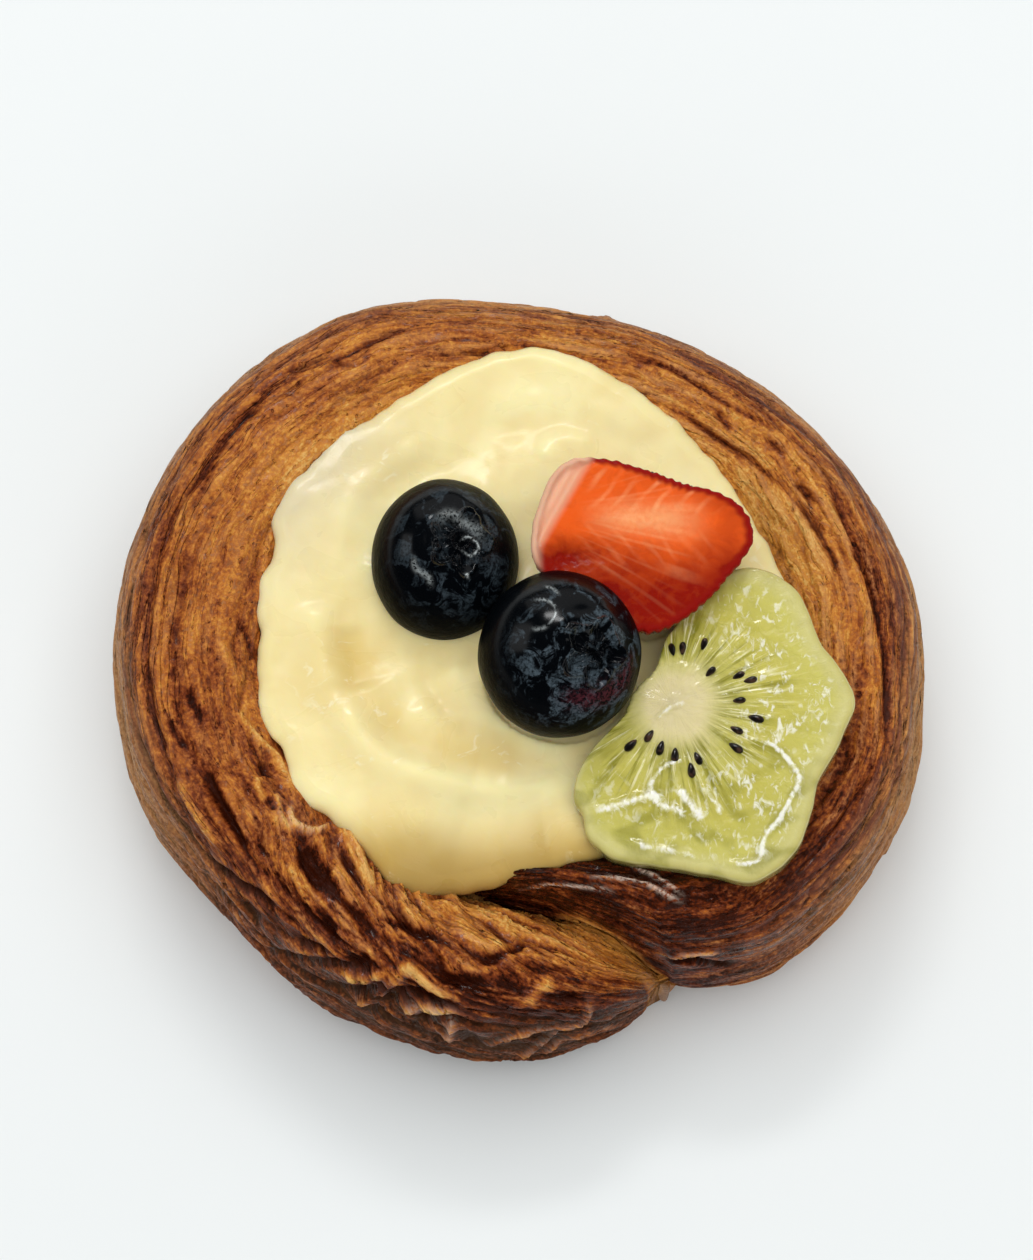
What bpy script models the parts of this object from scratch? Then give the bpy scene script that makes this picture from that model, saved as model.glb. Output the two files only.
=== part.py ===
"""A croissant tart: one rope of laminated dough coiled into a nest, filled with custard and topped with fruit.

The tart rests on the plane z = 0 with its centre over the origin. -Y is the front, where the two ends of
the rope lie side by side. Angles are in degrees, counter-clockwise from +X, and lengths are in millimetres
until MM turns them into metres.
"""

import math

import bpy
import numpy as np

MM = 0.001
CLEARANCE = 0.32  # free space between two pieces that touch

# The rope of dough. It starts inside the coil at ROPE_START and ends at the front, outside its own start.
ROPE_START = -104.0
ROPE_END = 292.5
ROPE_STATIONS = 134
RIM = (  # angle, outer radius at the widest height
    (-66, 43.3), (-58, 46.1), (-52, 48.0), (-45, 48.7), (-32, 49.4), (-20, 49.9), (-5, 49.6), (10, 49.3),
    (25, 48.0), (40, 46.9), (55, 46.1), (70, 45.7), (88, 46.4), (103, 48.6), (114, 50.1), (125, 50.5),
    (155, 50.8), (172, 50.3), (190, 49.7), (203, 49.1), (215, 47.6), (240, 47.5), (251, 47.6), (262, 48.2),
    (270, 47.7), (277, 46.9), (284, 45.8), (289, 44.6), (294, 42.8),
)
SEAM = ((-104, 29.6), (-92, 30.6), (-82, 33.0), (-74, 37.2), (-66, 43.2))  # where the two ends meet
SEAM_GAP = 0.7
CREST = (  # angle, height of the rope's top
    (-104, 15.0), (-92, 20.5), (-75, 24.5), (-50, 25.6), (-20, 25.0), (20, 25.0), (60, 24.6), (92, 23.8),
    (130, 26.2), (180, 27.2), (225, 26.2), (255, 24.6), (272, 22.4), (284, 18.5), (289, 15.2), (293, 9.0),
)
ROPE_INNER = 26.0  # inner radius, under the custard
BULGE_HEIGHT = 9.0  # height at which the rope is widest
CREST_SHIFT = 0.24  # how far the crest leans outwards, as a share of the half width
ROPE_LIFT = 0.4  # the rope's underside above the flat sole
OPEN_LINES = 28  # lines along the rope's open skin, from its outer foot over the crest to the custard
BURIED_LINES = 4
FOOT_ANGLE = -62.0
BURIED_ANGLE = 166.0
INNER_FOOT_ANGLE = 236.0
LINES_PER_FOLD = 2
FOLD_DEPTH = 0.85
FOLD_RISE = 0.3
TWIST = ((-104, 0.0), (205, 0.0), (250, 0.06), (293, 0.15))  # share of the open skin that the folds wander out

# The sole closes the coil's middle under the custard.
SOLE_INSET = 5.2
NOTCH_INSET = 2.6  # less of an inset where the rope's two ends leave a notch
SOLE_THICKNESS = 5.0
MOUND_RADIUS = 30.5
MOUND_HEIGHT = 15.5
SOLE_SECTORS = 60

# The custard, as radii round its own middle.
CUSTARD_MIDDLE = (-1.0, 4.0)
CUSTARD_RIM = (
    (-172, 30.8), (-163, 32.0), (-153, 33.2), (-145, 33.0), (-138, 34.9), (-131, 34.4), (-120, 35.0),
    (-112, 37.2), (-104, 35.8), (-94, 33.4), (-80, 32.6), (-60, 33.2), (-38, 34.6), (-15, 34.0), (8, 32.9),
    (21, 31.5), (36, 31.1), (56, 31.5), (70, 32.8), (85, 33.9), (97, 32.7), (108, 31.4), (128, 30.1),
    (135, 31.0), (140, 30.5), (153, 31.4), (159, 31.5), (165, 30.0), (176, 31.0),
)
CUSTARD_LIP = 1.7  # the rounded edge stands this far above the dough
CUSTARD_FLOOR = 13.0
CUSTARD_CROWN = 24.6
CUSTARD_SECTORS = 56
SWIRL_DEPTH = 0.7

# Berries: middle, half widths, and the direction that the blossom end points in.
BERRIES = {
    "blueberry_left": ((-9.2, 9.3, 26.0), (8.9, 9.9, 8.8), (0.28, 0.16, 1.0)),
    "blueberry_right": ((4.5, -4.2, 31.0), (9.6, 9.9, 9.3), (0.42, -0.52, 1.0)),
}
CROWN_SPREAD = 25.0  # half angle of the blossom end's ring
CROWN_LOBES = 5
CROWN_RISE = 0.045
CROWN_DEPTH = 0.1
BERRY_SECTORS = 20

# The kiwi slice lies on the custard and leans on the rope.
KIWI_MIDDLE = (18.5, -8.5, 27.0)
KIWI_OUTLINE = (  # angle round the core, radius; the knife left flats between the corners
    (63, 17.3), (49, 18.9), (41, 19.1), (34, 18.7), (20, 18.1), (6, 19.8), (-3, 20.9), (-10, 20.4),
    (-22, 19.7), (-33, 19.5), (-42, 20.8), (-52, 22.8), (-61, 23.8), (-70, 23.9), (-81, 21.8), (-98, 20.6),
    (-115, 20.8), (-123, 19.9), (-128, 18.3), (-135, 17.4), (-143, 14.5), (-148, 11.8), (-153, 8.9), (-158, 7.1),
    (-167, 6.1), (180, 5.4), (163, 4.6), (137, 4.0), (110, 5.4), (98, 7.4), (89, 8.8), (76, 13.0),
)
KIWI_THICKNESS = 4.7
KIWI_TILT = (2.6, -4.2)  # degrees about X and Y
KIWI_SECTORS = 48
KIWI_SEEDS = 15
KIWI_SEED_RING = 6.6
KIWI_SEED_FIRST = -134.0
KIWI_SEED_STEP = 16.3
KIWI_SEED_SIZE = (1.05, 0.6, 0.5)

# The strawberry half lies cut face up, its tip over the rope.
BERRY_HALF_MIDDLE = (15.0, 9.0, 34.0)
BERRY_HALF_OUTLINE = (  # angle round the middle, radius
    (33, 10.6), (21, 11.9), (11, 12.5), (2, 12.5), (-11, 11.4), (-22, 10.5), (-40, 10.0), (-55, 10.0),
    (-72, 10.5), (-89, 11.1), (-100, 11.0), (-120, 11.6), (-150, 12.0), (-169, 13.8), (176, 13.8), (160, 13.6),
    (144, 13.8), (133, 13.3), (120, 11.4), (102, 9.3), (80, 8.2), (53, 8.5),
)
BERRY_HALF_DEPTH = 10.2
BERRY_HALF_TILT = (7.0, 3.0)
BERRY_HALF_SECTORS = 45
ACHENE_PITCH = 3  # sectors between two seed dimples on the rim

COLOURS = {  # linear red, green, blue; roughness
    "pastry": ((0.30, 0.10, 0.025), 0.42),
    "custard": ((0.88, 0.72, 0.33), 0.25),
    "blueberry": ((0.012, 0.016, 0.03), 0.25),
    "strawberry": ((0.66, 0.10, 0.03), 0.25),
    "kiwi": ((0.45, 0.50, 0.10), 0.2),
}


def through(stations, at, period=None):
    """The smooth curve through (place, value) stations, read at the places in at. It is closed with a period."""
    knots = sorted(stations)
    if period:
        knots = [(k - period, v) for k, v in knots[-2:]] + knots + [(k + period, v) for k, v in knots[:2]]
    places, values = (np.array(column, float) for column in zip(*knots))
    slopes = np.gradient(values, places)
    at = np.atleast_1d(np.asarray(at, float))
    if period:
        at = (at - places[2]) % period + places[2]
    at = np.clip(at, places[0], places[-1])
    i = np.clip(np.searchsorted(places, at, side="right") - 1, 0, len(places) - 2)
    span = places[i + 1] - places[i]
    t = (at - places[i]) / span
    return (
        (2 * t**3 - 3 * t**2 + 1) * values[i]
        + (t**3 - 2 * t**2 + t) * span * slopes[i]
        + (3 * t**2 - 2 * t**3) * values[i + 1]
        + (t**3 - t**2) * span * slopes[i + 1]
    )


def wander(degrees, line):
    """A slow uneven wave between about -1 and 1 along the rope, of its own for each line."""
    phase = 2.399963 * (line + 1)  # the golden angle keeps the lines apart
    turn = np.radians(degrees)
    return 0.5 * np.sin(2.3 * turn + phase) + 0.32 * np.sin(5.1 * turn + 2.7 * phase) + 0.2 * np.sin(11 * turn + 5 * phase)


def rope_edges(degrees):
    """Inner and outer radius of the rope at each angle along it."""
    past_start = degrees - 360
    outer = np.where(degrees < RIM[0][0], through(SEAM, degrees) - SEAM_GAP / 2, through(RIM, degrees))
    taper_in = np.clip((-82 - degrees) / (-82 - ROPE_START), 0, 1)
    inner = ROPE_INNER - 2.5 * np.exp(-(((degrees + 80) / 30) ** 2)) + 1.5 * taper_in
    beside = np.clip((past_start + 128) / (SEAM[0][0] + 128), 0, 1)
    beside = beside * beside * (3 - 2 * beside)
    inner = np.where(
        past_start > -128, (1 - beside) * inner + beside * (through(SEAM, past_start) + SEAM_GAP / 2), inner
    )
    return inner, outer


def rope_section(inner, outer, crest, angle):
    """Radius and height of the skin at an angle round the section: 0 is the widest place, 90 the crest."""
    middle, half = (inner + outer) / 2, (outer - inner) / 2
    turn = np.radians(angle)
    across, up = np.cos(turn), np.sin(turn)
    bulge = np.minimum(BULGE_HEIGHT, 0.45 * crest)
    radius = middle + half * np.sign(across) * np.abs(across) ** 0.85 + CREST_SHIFT * half * np.clip(up, 0, 1) ** 2
    below = bulge * (1 + up / math.sin(math.radians(-FOOT_ANGLE)))
    height = np.where(up > 0, bulge + (crest - bulge) * np.abs(up) ** 0.92, below)
    return radius, np.maximum(height, 0) + ROPE_LIFT


def dough_height(x, y):
    """Height of the bare dough's top at one place: the higher strand there, or the mound in the middle."""
    radius, degrees = math.hypot(x, y), math.degrees(math.atan2(y, x))
    highest = MOUND_HEIGHT
    for along in (degrees, degrees + 360):
        if ROPE_START <= along <= ROPE_END:
            inner, outer = rope_edges(np.array([along]))
            radii, heights = rope_section(inner, outer, through(CREST, along), np.linspace(0, 180, 91))
            highest = max(highest, float(np.interp(radius, radii[::-1], heights[::-1], left=0, right=0)))
    return highest


def mesh_object(name, points, faces, material=None):
    """One object from points in millimetres and faces."""
    mesh = bpy.data.meshes.new(name)
    mesh.from_pydata([tuple(MM * c for c in p) for p in points], [], faces)
    mesh.validate()
    if material:
        mesh.materials.append(material)
    made = bpy.data.objects.new(name, mesh)
    bpy.context.scene.collection.objects.link(made)
    return made


def loft(rings, closed_ends=True):
    """Points and faces of a solid through closed rings of equal length, each end closed by a fan."""
    count = len(rings[0])
    points = [p for ring in rings for p in ring]
    faces = []
    for i in range(len(rings) - 1):
        for j in range(count):
            k = (j + 1) % count
            faces.append((i * count + j, i * count + k, (i + 1) * count + k, (i + 1) * count + j))
    if closed_ends:
        for ring, first, flip in ((rings[0], 0, True), (rings[-1], (len(rings) - 1) * count, False)):
            tip = len(points)
            points.append(tuple(np.mean(np.array(ring), axis=0)))
            for j in range(count):
                a, b = first + j, first + (j + 1) % count
                faces.append((b, a, tip) if flip else (a, b, tip))
    return points, faces


def boolean(target, tools, operation):
    """Applies one Boolean of the target with each tool, and removes the tools."""
    for tool in tools:
        step = target.modifiers.new(operation.title(), "BOOLEAN")
        step.operation = operation
        step.solver = "EXACT"
        step.object = tool
        bpy.context.view_layer.update()
        graph = bpy.context.evaluated_depsgraph_get()
        result = bpy.data.meshes.new_from_object(target.evaluated_get(graph), depsgraph=graph)
        target.modifiers.remove(step)
        target.data = result
        bpy.data.objects.remove(tool)
    return target


def finish_of(name):
    """The Principled material of one foodstuff."""
    colour, roughness = COLOURS[name]
    material = bpy.data.materials.new(name)
    material.use_nodes = True
    shader = material.node_tree.nodes["Principled BSDF"]
    shader.inputs["Base Color"].default_value = (*colour, 1)
    shader.inputs["Roughness"].default_value = roughness
    material.diffuse_color = (*colour, 1)
    return material


def make_rope():
    """The coiled rope, with the folds of its layers running along it."""
    stations = np.linspace(ROPE_START, ROPE_END, ROPE_STATIONS)
    inner, outer = rope_edges(stations)
    crest, twist = through(CREST, stations), through(TWIST, stations)
    rings = []
    for s, degrees in enumerate(stations):
        share = np.linspace(0, 1, OPEN_LINES)
        line = np.arange(OPEN_LINES + BURIED_LINES)
        share = share - 4 * share * (1 - share) * (twist[s] - 0.012 * wander(degrees, 3))
        buried = np.linspace(BURIED_ANGLE, INNER_FOOT_ANGLE, BURIED_LINES + 1)[1:]
        angle = np.concatenate([FOOT_ANGLE + (BURIED_ANGLE - FOOT_ANGLE) * share, buried])
        shown = np.clip((angle - FOOT_ANGLE) / 25, 0, 1) * np.clip((190 - angle) / 30, 0, 1)
        radius, height = rope_section(inner[s], outer[s], crest[s], angle)
        slope = np.stack([np.gradient(radius), np.gradient(height)], -1)
        normal = np.stack([slope[:, 1], -slope[:, 0]], -1)
        normal /= np.linalg.norm(normal, axis=1)[:, None]
        groove = line % LINES_PER_FOLD == 0
        unevenness = 0.62 + 0.38 * wander(degrees, line)
        relief = np.where(groove, -FOLD_DEPTH * unevenness, FOLD_RISE * wander(degrees, line + 40))
        relief *= shown * min(1.0, (outer[s] - inner[s]) / 12)
        radius, height = radius + relief * normal[:, 0], height + relief * normal[:, 1]
        turn = math.radians(degrees)
        rings.append(
            [(r * math.cos(turn), r * math.sin(turn), max(z, ROPE_LIFT)) for r, z in zip(radius, height)]
        )
    points, faces = loft(rings)
    return mesh_object("rope", points, [f[::-1] for f in faces])


def polar_solid(name, profile, sectors, middle=(0, 0), material=None):
    """A solid whose rings are given, from its underside's middle out and back to its top's middle.

    profile(angles) returns one (radius, height) pair of arrays for each ring.
    """
    angles = np.arange(sectors) * 360 / sectors
    turn = np.radians(angles)
    rings = []
    for radius, height in profile(angles):
        x, y = middle[0] + radius * np.cos(turn), middle[1] + radius * np.sin(turn)
        rings.append(list(zip(x, y, np.broadcast_to(height, x.shape))))
    points, faces = loft(rings)
    return mesh_object(name, points, faces, material)


def make_sole():
    """The dough under the coil and in its middle."""

    def profile(angles):
        from_notch = (angles - RIM[0][0] + 180) % 360 - 180
        inset = SOLE_INSET - NOTCH_INSET * np.exp(-((from_notch / 12) ** 2))
        edge = through(RIM, (angles - RIM[0][0]) % 360 + RIM[0][0]) - inset
        return [
            (edge, 0.0),
            (edge, SOLE_THICKNESS),
            (np.full_like(edge, MOUND_RADIUS), SOLE_THICKNESS + 3),
            (np.full_like(edge, MOUND_RADIUS - 2), MOUND_HEIGHT),
        ]

    return polar_solid("sole", profile, SOLE_SECTORS)


def custard_profile(grow):
    """The custard's rings, from the middle of its underside over its rounded lip to its crown."""

    def profile(angles):
        turn = np.radians(angles)
        edge = through(CUSTARD_RIM, angles, 360)
        x, y = CUSTARD_MIDDLE[0] + edge * np.cos(turn), CUSTARD_MIDDLE[1] + edge * np.sin(turn)
        shore = np.array([dough_height(*place) for place in zip(x, y)])
        shore = np.convolve(np.concatenate([shore[-2:], shore, shore[:2]]), np.ones(5) / 5, "valid")
        top = shore + CUSTARD_LIP
        rings = [
            (0.7 * edge + grow, CUSTARD_FLOOR - grow),
            (edge - 4.2 + grow, shore - 3.4 - grow),
            (edge - 1.0 + grow, shore - 0.9 - grow),
            (edge + grow, shore + 0.45),
            (edge - 0.45 + grow, top - 0.45 + grow),
            (edge - 1.5, top + grow),
        ]
        for share in (0.84, 0.7, 0.54, 0.36, 0.16):
            swirl = np.sin(2 * turn + 9 * share) * np.sin(math.pi * share)
            level = CUSTARD_CROWN + (top - CUSTARD_CROWN) * share**2.2 + SWIRL_DEPTH * swirl
            rings.append((share * edge, level + grow))
        return rings

    return profile


def make_custard(material, name="custard", grow=0.0):
    """The pool of custard, or the space that it needs."""
    return polar_solid(name, custard_profile(grow), CUSTARD_SECTORS, CUSTARD_MIDDLE, material)


def make_blueberry(name, middle, half_widths, blossom, material=None, grow=0.0):
    """A berry with the ringed hollow of its blossom end."""
    rings = []
    for polar in (8, 15, 20, 24, 29, 38, 52, 68, 85, 102, 120, 140, 158):
        p, ring = math.radians(polar), []
        for j in range(BERRY_SECTORS):
            around = 2 * math.pi * j / BERRY_SECTORS
            rim = math.exp(-(((polar - CROWN_SPREAD) / 4) ** 2)) * (0.7 + 0.3 * math.cos(CROWN_LOBES * around))
            hollow = 1 / (1 + math.exp((polar - CROWN_SPREAD + 5) / 1.5))
            distance = 1 if grow else 1 + CROWN_RISE * rim - CROWN_DEPTH * hollow
            flat = distance * math.sin(p)
            ring.append((flat * math.cos(around), flat * math.sin(around), distance * math.cos(p)))
        rings.append(ring)
    z = np.array(blossom) / np.linalg.norm(blossom)
    x = np.cross((0, 1, 0), z)
    x /= np.linalg.norm(x)
    frame = np.stack([x, np.cross(z, x), z])
    reach = np.array(half_widths) + grow
    placed = [[tuple(np.array(middle) + reach * (np.array(p) @ frame)) for p in ring] for ring in rings]
    points, faces = loft(placed)
    return mesh_object(name, points, [f[::-1] for f in faces], material)


def tilted(points, middle, tilt):
    """Points of a piece made flat round (0, 0, 0), turned about X then Y and moved to its middle."""
    a, b = (math.radians(t) for t in tilt)
    about_x = np.array([[1, 0, 0], [0, math.cos(a), -math.sin(a)], [0, math.sin(a), math.cos(a)]])
    about_y = np.array([[math.cos(b), 0, math.sin(b)], [0, 1, 0], [-math.sin(b), 0, math.cos(b)]])
    return [tuple(p) for p in np.array(points) @ (about_y @ about_x).T + np.array(middle)]


def make_kiwi(material=None, name="kiwi_slice", grow=0.0):
    """The peeled slice, cut across, with its seeds standing a little proud round the pale core."""
    angles = np.arange(KIWI_SECTORS) * 360 / KIWI_SECTORS
    turn = np.radians(angles)
    edge = through(KIWI_OUTLINE, angles, 360)
    low, high = -KIWI_THICKNESS / 2 - grow, KIWI_THICKNESS / 2 + grow
    layers = [
        (0.6, 0.0, low), (1.0, -0.5, low + 0.2), (1.0, 0.0, low + 1.2), (1.0, 0.0, high - 1.1),
        (1.0, -0.6, high - 0.2), (0.85, -0.3, high), (0.6, 0.0, high - 0.1), (0.3, 0.0, high + 0.1),
    ]
    rings = []
    for share, inset, level in layers:
        radius = share * edge + inset + grow
        ripple = 0.12 * share * np.cos(12 * turn) if level > 0 and not grow else np.zeros_like(turn)
        rings.append(list(zip(radius * np.cos(turn), radius * np.sin(turn), level + ripple)))
    points, faces = loft(rings)
    slice_ = mesh_object(name, tilted(points, KIWI_MIDDLE, KIWI_TILT), faces, material)
    if grow:
        return slice_
    seeds = []
    for n in range(KIWI_SEEDS):
        turn_n = math.radians(KIWI_SEED_FIRST + KIWI_SEED_STEP * n)
        radius = KIWI_SEED_RING + 1.3 * (n % 2) + 0.9 * math.cos(turn_n)
        spot = (radius * math.cos(turn_n), radius * math.sin(turn_n), high - 0.1)
        ball = []
        for level in (-0.3, 0.7):
            flat = math.sqrt(1 - level * level)
            for k in range(6):
                a = k * math.pi / 3
                along, side = KIWI_SEED_SIZE[0] * flat * math.cos(a), KIWI_SEED_SIZE[1] * flat * math.sin(a)
                ball.append((spot[0] + along * math.cos(turn_n) - side * math.sin(turn_n),
                             spot[1] + along * math.sin(turn_n) + side * math.cos(turn_n),
                             spot[2] + KIWI_SEED_SIZE[2] * level))
        seed_points, seed_faces = loft([ball[:6], ball[6:]])
        seeds.append(mesh_object(f"seed_{n}", tilted(seed_points, KIWI_MIDDLE, KIWI_TILT), seed_faces))
    return boolean(slice_, seeds, "UNION")


def make_strawberry(material, name="strawberry_half", grow=0.0):
    """The half strawberry: a flat cut face with the dimple of its core, over a rounded back with seed dimples."""
    angles = np.arange(BERRY_HALF_SECTORS) * 360 / BERRY_HALF_SECTORS
    turn = np.radians(angles)
    edge = through(BERRY_HALF_OUTLINE, angles, 360)
    notch = np.where(np.arange(BERRY_HALF_SECTORS) % ACHENE_PITCH == 0, 0.0 if grow else -0.45, 0.0)
    rings = []
    for polar, share in ((76, 0.3), (52, 0.65), (30, 0.9), (10, 1.0)):
        stagger = notch if polar in (52, 10) else np.roll(notch, 1)
        radius = share * edge + stagger + grow
        level = -BERRY_HALF_DEPTH * math.sin(math.radians(polar)) - grow
        rings.append(list(zip(radius * np.cos(turn), radius * np.sin(turn), np.full_like(turn, level))))
    for share, level in ((1.0, -0.3), (0.94, 0.3), (0.7, 0.5), (0.3, 0.6)):
        radius = share * edge + (notch if share == 1.0 else 0) + grow
        x, y = radius * np.cos(turn), radius * np.sin(turn)
        hollow = (0 if grow else -0.9) * np.exp(-(((x + 9.0) / 3.6) ** 2) - ((y + 1.4) / 2.2) ** 2)
        rings.append(list(zip(x, y, level + grow + hollow)))
    points, faces = loft(rings)
    return mesh_object(name, tilted(points, BERRY_HALF_MIDDLE, BERRY_HALF_TILT), faces, material)


def main():
    """Builds the tart's six pieces, each cut clear of the ones that press into it."""
    for old in list(bpy.data.objects):
        bpy.data.objects.remove(old)
    for old in list(bpy.data.meshes):
        bpy.data.meshes.remove(old)
    material = {name: finish_of(name) for name in COLOURS}

    pastry = boolean(make_rope(), [make_sole()], "UNION")
    pastry.name = "pastry"
    pastry.data.materials.clear()
    pastry.data.materials.append(material["pastry"])
    boolean(pastry, [make_custard(None, "space", CLEARANCE), make_kiwi(None, "space", CLEARANCE)], "DIFFERENCE")

    berries = [make_blueberry(name, *shape, material["blueberry"]) for name, shape in BERRIES.items()]

    def berry_spaces():
        return [make_blueberry("space", *shape, None, CLEARANCE) for shape in BERRIES.values()]

    kiwi = boolean(make_kiwi(material["kiwi"]), berry_spaces(), "DIFFERENCE")
    strawberry = make_strawberry(material["strawberry"])
    boolean(strawberry, [*berry_spaces(), make_kiwi(None, "space", CLEARANCE)], "DIFFERENCE")
    custard = make_custard(material["custard"])
    strawberry_space = make_strawberry(None, "space", CLEARANCE)
    boolean(custard, [*berry_spaces(), make_kiwi(None, "space", CLEARANCE), strawberry_space], "DIFFERENCE")

    tart = bpy.data.objects.new("croissant_tart", None)
    bpy.context.scene.collection.objects.link(tart)
    corners = np.array([vertex.co for vertex in pastry.data.vertices])
    middle = (corners.min(axis=0) + corners.max(axis=0)) / 2
    tart.location = (-middle[0], -middle[1], 0)
    for piece in (pastry, custard, kiwi, strawberry, *berries):
        piece.parent = tart
        piece.data.shade_smooth()
        piece.data.set_sharp_from_angle(angle=math.radians(50))


main()
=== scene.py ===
"""A croissant tart for the studio: a coiled rope of dough, custard, two blueberries, kiwi and strawberry.

Every class makes one sub-assembly. Until a mesh is made, lengths are in millimetres and angles in degrees,
counter-clockwise from +X. The tart's front, where the two ends of the rope lie side by side, is at -Y.
"""

import logging
import math
from dataclasses import dataclass, field
from enum import Enum

import bpy
import numpy as np
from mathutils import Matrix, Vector


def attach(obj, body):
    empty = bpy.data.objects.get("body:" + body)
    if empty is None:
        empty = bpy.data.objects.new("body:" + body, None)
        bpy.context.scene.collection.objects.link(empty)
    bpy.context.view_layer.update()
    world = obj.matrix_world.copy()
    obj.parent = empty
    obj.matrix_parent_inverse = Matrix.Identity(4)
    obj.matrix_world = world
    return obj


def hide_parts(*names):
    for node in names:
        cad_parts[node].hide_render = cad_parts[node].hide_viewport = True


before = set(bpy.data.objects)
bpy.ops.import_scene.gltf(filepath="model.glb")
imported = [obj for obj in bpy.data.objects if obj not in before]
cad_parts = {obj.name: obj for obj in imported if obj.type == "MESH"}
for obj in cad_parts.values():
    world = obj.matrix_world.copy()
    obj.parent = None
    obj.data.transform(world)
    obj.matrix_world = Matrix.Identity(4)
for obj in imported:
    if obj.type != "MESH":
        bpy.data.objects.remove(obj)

Array = np.ndarray
Stations = tuple[tuple[float, float], ...]
Place = tuple[float, float]
Triple = tuple[float, float, float]
Colour = tuple[float, float, float, float]
Mark = tuple[float, float, float, float, tuple[Place, ...]]

MM = 0.001
BODY = "root"
TART_SHIFT = (0.266, 0.304, 0.0)  # brings the middle of the coil's outline over the origin
ROPE_RADIUS = 42.0  # where lengths along the rope are true
FULL_TURN = 360.0
STROKE_STEPS = 12  # straight steps from one place of a stroke to the next
CRUST_LOOKS = ("bake", "plum", "dull", "olive", "hollow", "frost", "gloss", "coarse", "lined")

log = logging.getLogger("croissant_tart")


class Slot(Enum):
    """The foodstuffs that the finishes belong to."""

    PASTRY = "pastry"
    CUSTARD = "custard"
    BLUEBERRY = "blueberry"
    STRAWBERRY = "strawberry"
    KIWI = "kiwi"


# Shared mathematics


def paint(red: int, green: int, blue: int) -> Colour:
    """Turns a colour as a display shows it into the linear colour that a shader takes.

    Args:
        red: Red from 0 to 255.
        green: Green from 0 to 255.
        blue: Blue from 0 to 255.

    Returns:
        The linear colour with an alpha of 1.
    """
    parts = [c / 255 for c in (red, green, blue)]
    linear = [c / 12.92 if c <= 0.04045 else ((c + 0.055) / 1.055) ** 2.4 for c in parts]
    return (linear[0], linear[1], linear[2], 1.0)


def through(stations: Stations, at: Array | float, period: float | None = None) -> Array:
    """Reads the smooth curve through (place, value) stations.

    Args:
        stations: The curve's own places and values.
        at: Where the curve is read.
        period: The length after which a closed curve repeats.

    Returns:
        One value for each place in at.
    """
    knots = sorted(stations)
    if period:
        knots = [(k - period, v) for k, v in knots[-2:]] + knots + [(k + period, v) for k, v in knots[:2]]
    places, values = (np.array(column, float) for column in zip(*knots))
    slopes = np.gradient(values, places)
    at = np.atleast_1d(np.asarray(at, float))
    if period:
        at = (at - places[2]) % period + places[2]
    at = np.clip(at, places[0], places[-1])
    i = np.clip(np.searchsorted(places, at, side="right") - 1, 0, len(places) - 2)
    span = places[i + 1] - places[i]
    t = (at - places[i]) / span
    return (
        (2 * t**3 - 3 * t**2 + 1) * values[i]
        + (t**3 - 2 * t**2 + t) * span * slopes[i]
        + (3 * t**2 - 2 * t**3) * values[i + 1]
        + (t**3 - t**2) * span * slopes[i + 1]
    )


def ease(value: Array, low: float, high: float) -> Array:
    """Rises smoothly from 0 to 1 as the value goes from low to high."""
    t = np.clip((value - low) / (high - low), 0, 1)
    return t * t * (3 - 2 * t)


def hump(value: Array, middle: float, width: float) -> Array:
    """A bell of height 1 round the middle."""
    return np.exp(-(((value - middle) / width) ** 2))


def lattice(i: Array, j: Array, seed: int) -> Array:
    """A repeatable number from 0 to 1 for each pair of whole numbers."""
    n = (i.astype(np.int64) * 374761393 + j.astype(np.int64) * 668265263 + seed * 974634777) & 0xFFFFFFFF
    n = ((n ^ (n >> 13)) * 1274126177) & 0xFFFFFFFF
    return (n ^ (n >> 16)) / 4294967296.0


def noise(u: Array, v: Array, seed: int) -> Array:
    """Smooth noise over two coordinates.

    Args:
        u: First coordinate. One unit is the size of one lump.
        v: Second coordinate.
        seed: Picks one of many patterns.

    Returns:
        Values between about -1 and 1.
    """
    u, v = np.broadcast_arrays(np.asarray(u, float), np.asarray(v, float))
    left, low = np.floor(u), np.floor(v)
    fu, fv = u - left, v - low
    su, sv = (f * f * f * (f * (f * 6 - 15) + 10) for f in (fu, fv))

    def corner(du: int, dv: int) -> Array:
        """The slope at one corner, carried to the place that is read."""
        turn = 2 * math.pi * lattice(left + du, low + dv, seed)
        return np.cos(turn) * (fu - du) + np.sin(turn) * (fv - dv)

    bottom = corner(0, 0) * (1 - su) + corner(1, 0) * su
    top = corner(0, 1) * (1 - su) + corner(1, 1) * su
    return 1.5 * (bottom * (1 - sv) + top * sv)


def flakes(u: Array, v: Array, seed: int) -> tuple[Array, Array]:
    """Uneven cells one unit across, like the flakes that a baked layer breaks into.

    Args:
        u: First coordinate.
        v: Second coordinate.
        seed: Picks one of many patterns.

    Returns:
        A number from 0 to 1 that each cell has to itself, and how far each place is inside its cell.
    """
    u, v = np.broadcast_arrays(np.asarray(u, float), np.asarray(v, float))
    left, low = np.floor(u), np.floor(v)
    nearest, second, own = np.full(u.shape, 9.0), np.full(u.shape, 9.0), np.zeros(u.shape)
    for du, dv in ((a, b) for a in (-1, 0, 1) for b in (-1, 0, 1)):
        i, j = left + du, low + dv
        away = np.hypot(i + 0.1 + 0.8 * lattice(i, j, seed) - u, j + 0.1 + 0.8 * lattice(i, j, seed + 50) - v)
        closer = away < nearest
        second = np.where(closer, nearest, np.minimum(second, away))
        own = np.where(closer, lattice(i, j, seed + 90), own)
        nearest = np.where(closer, away, nearest)
    return own, second - nearest


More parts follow.
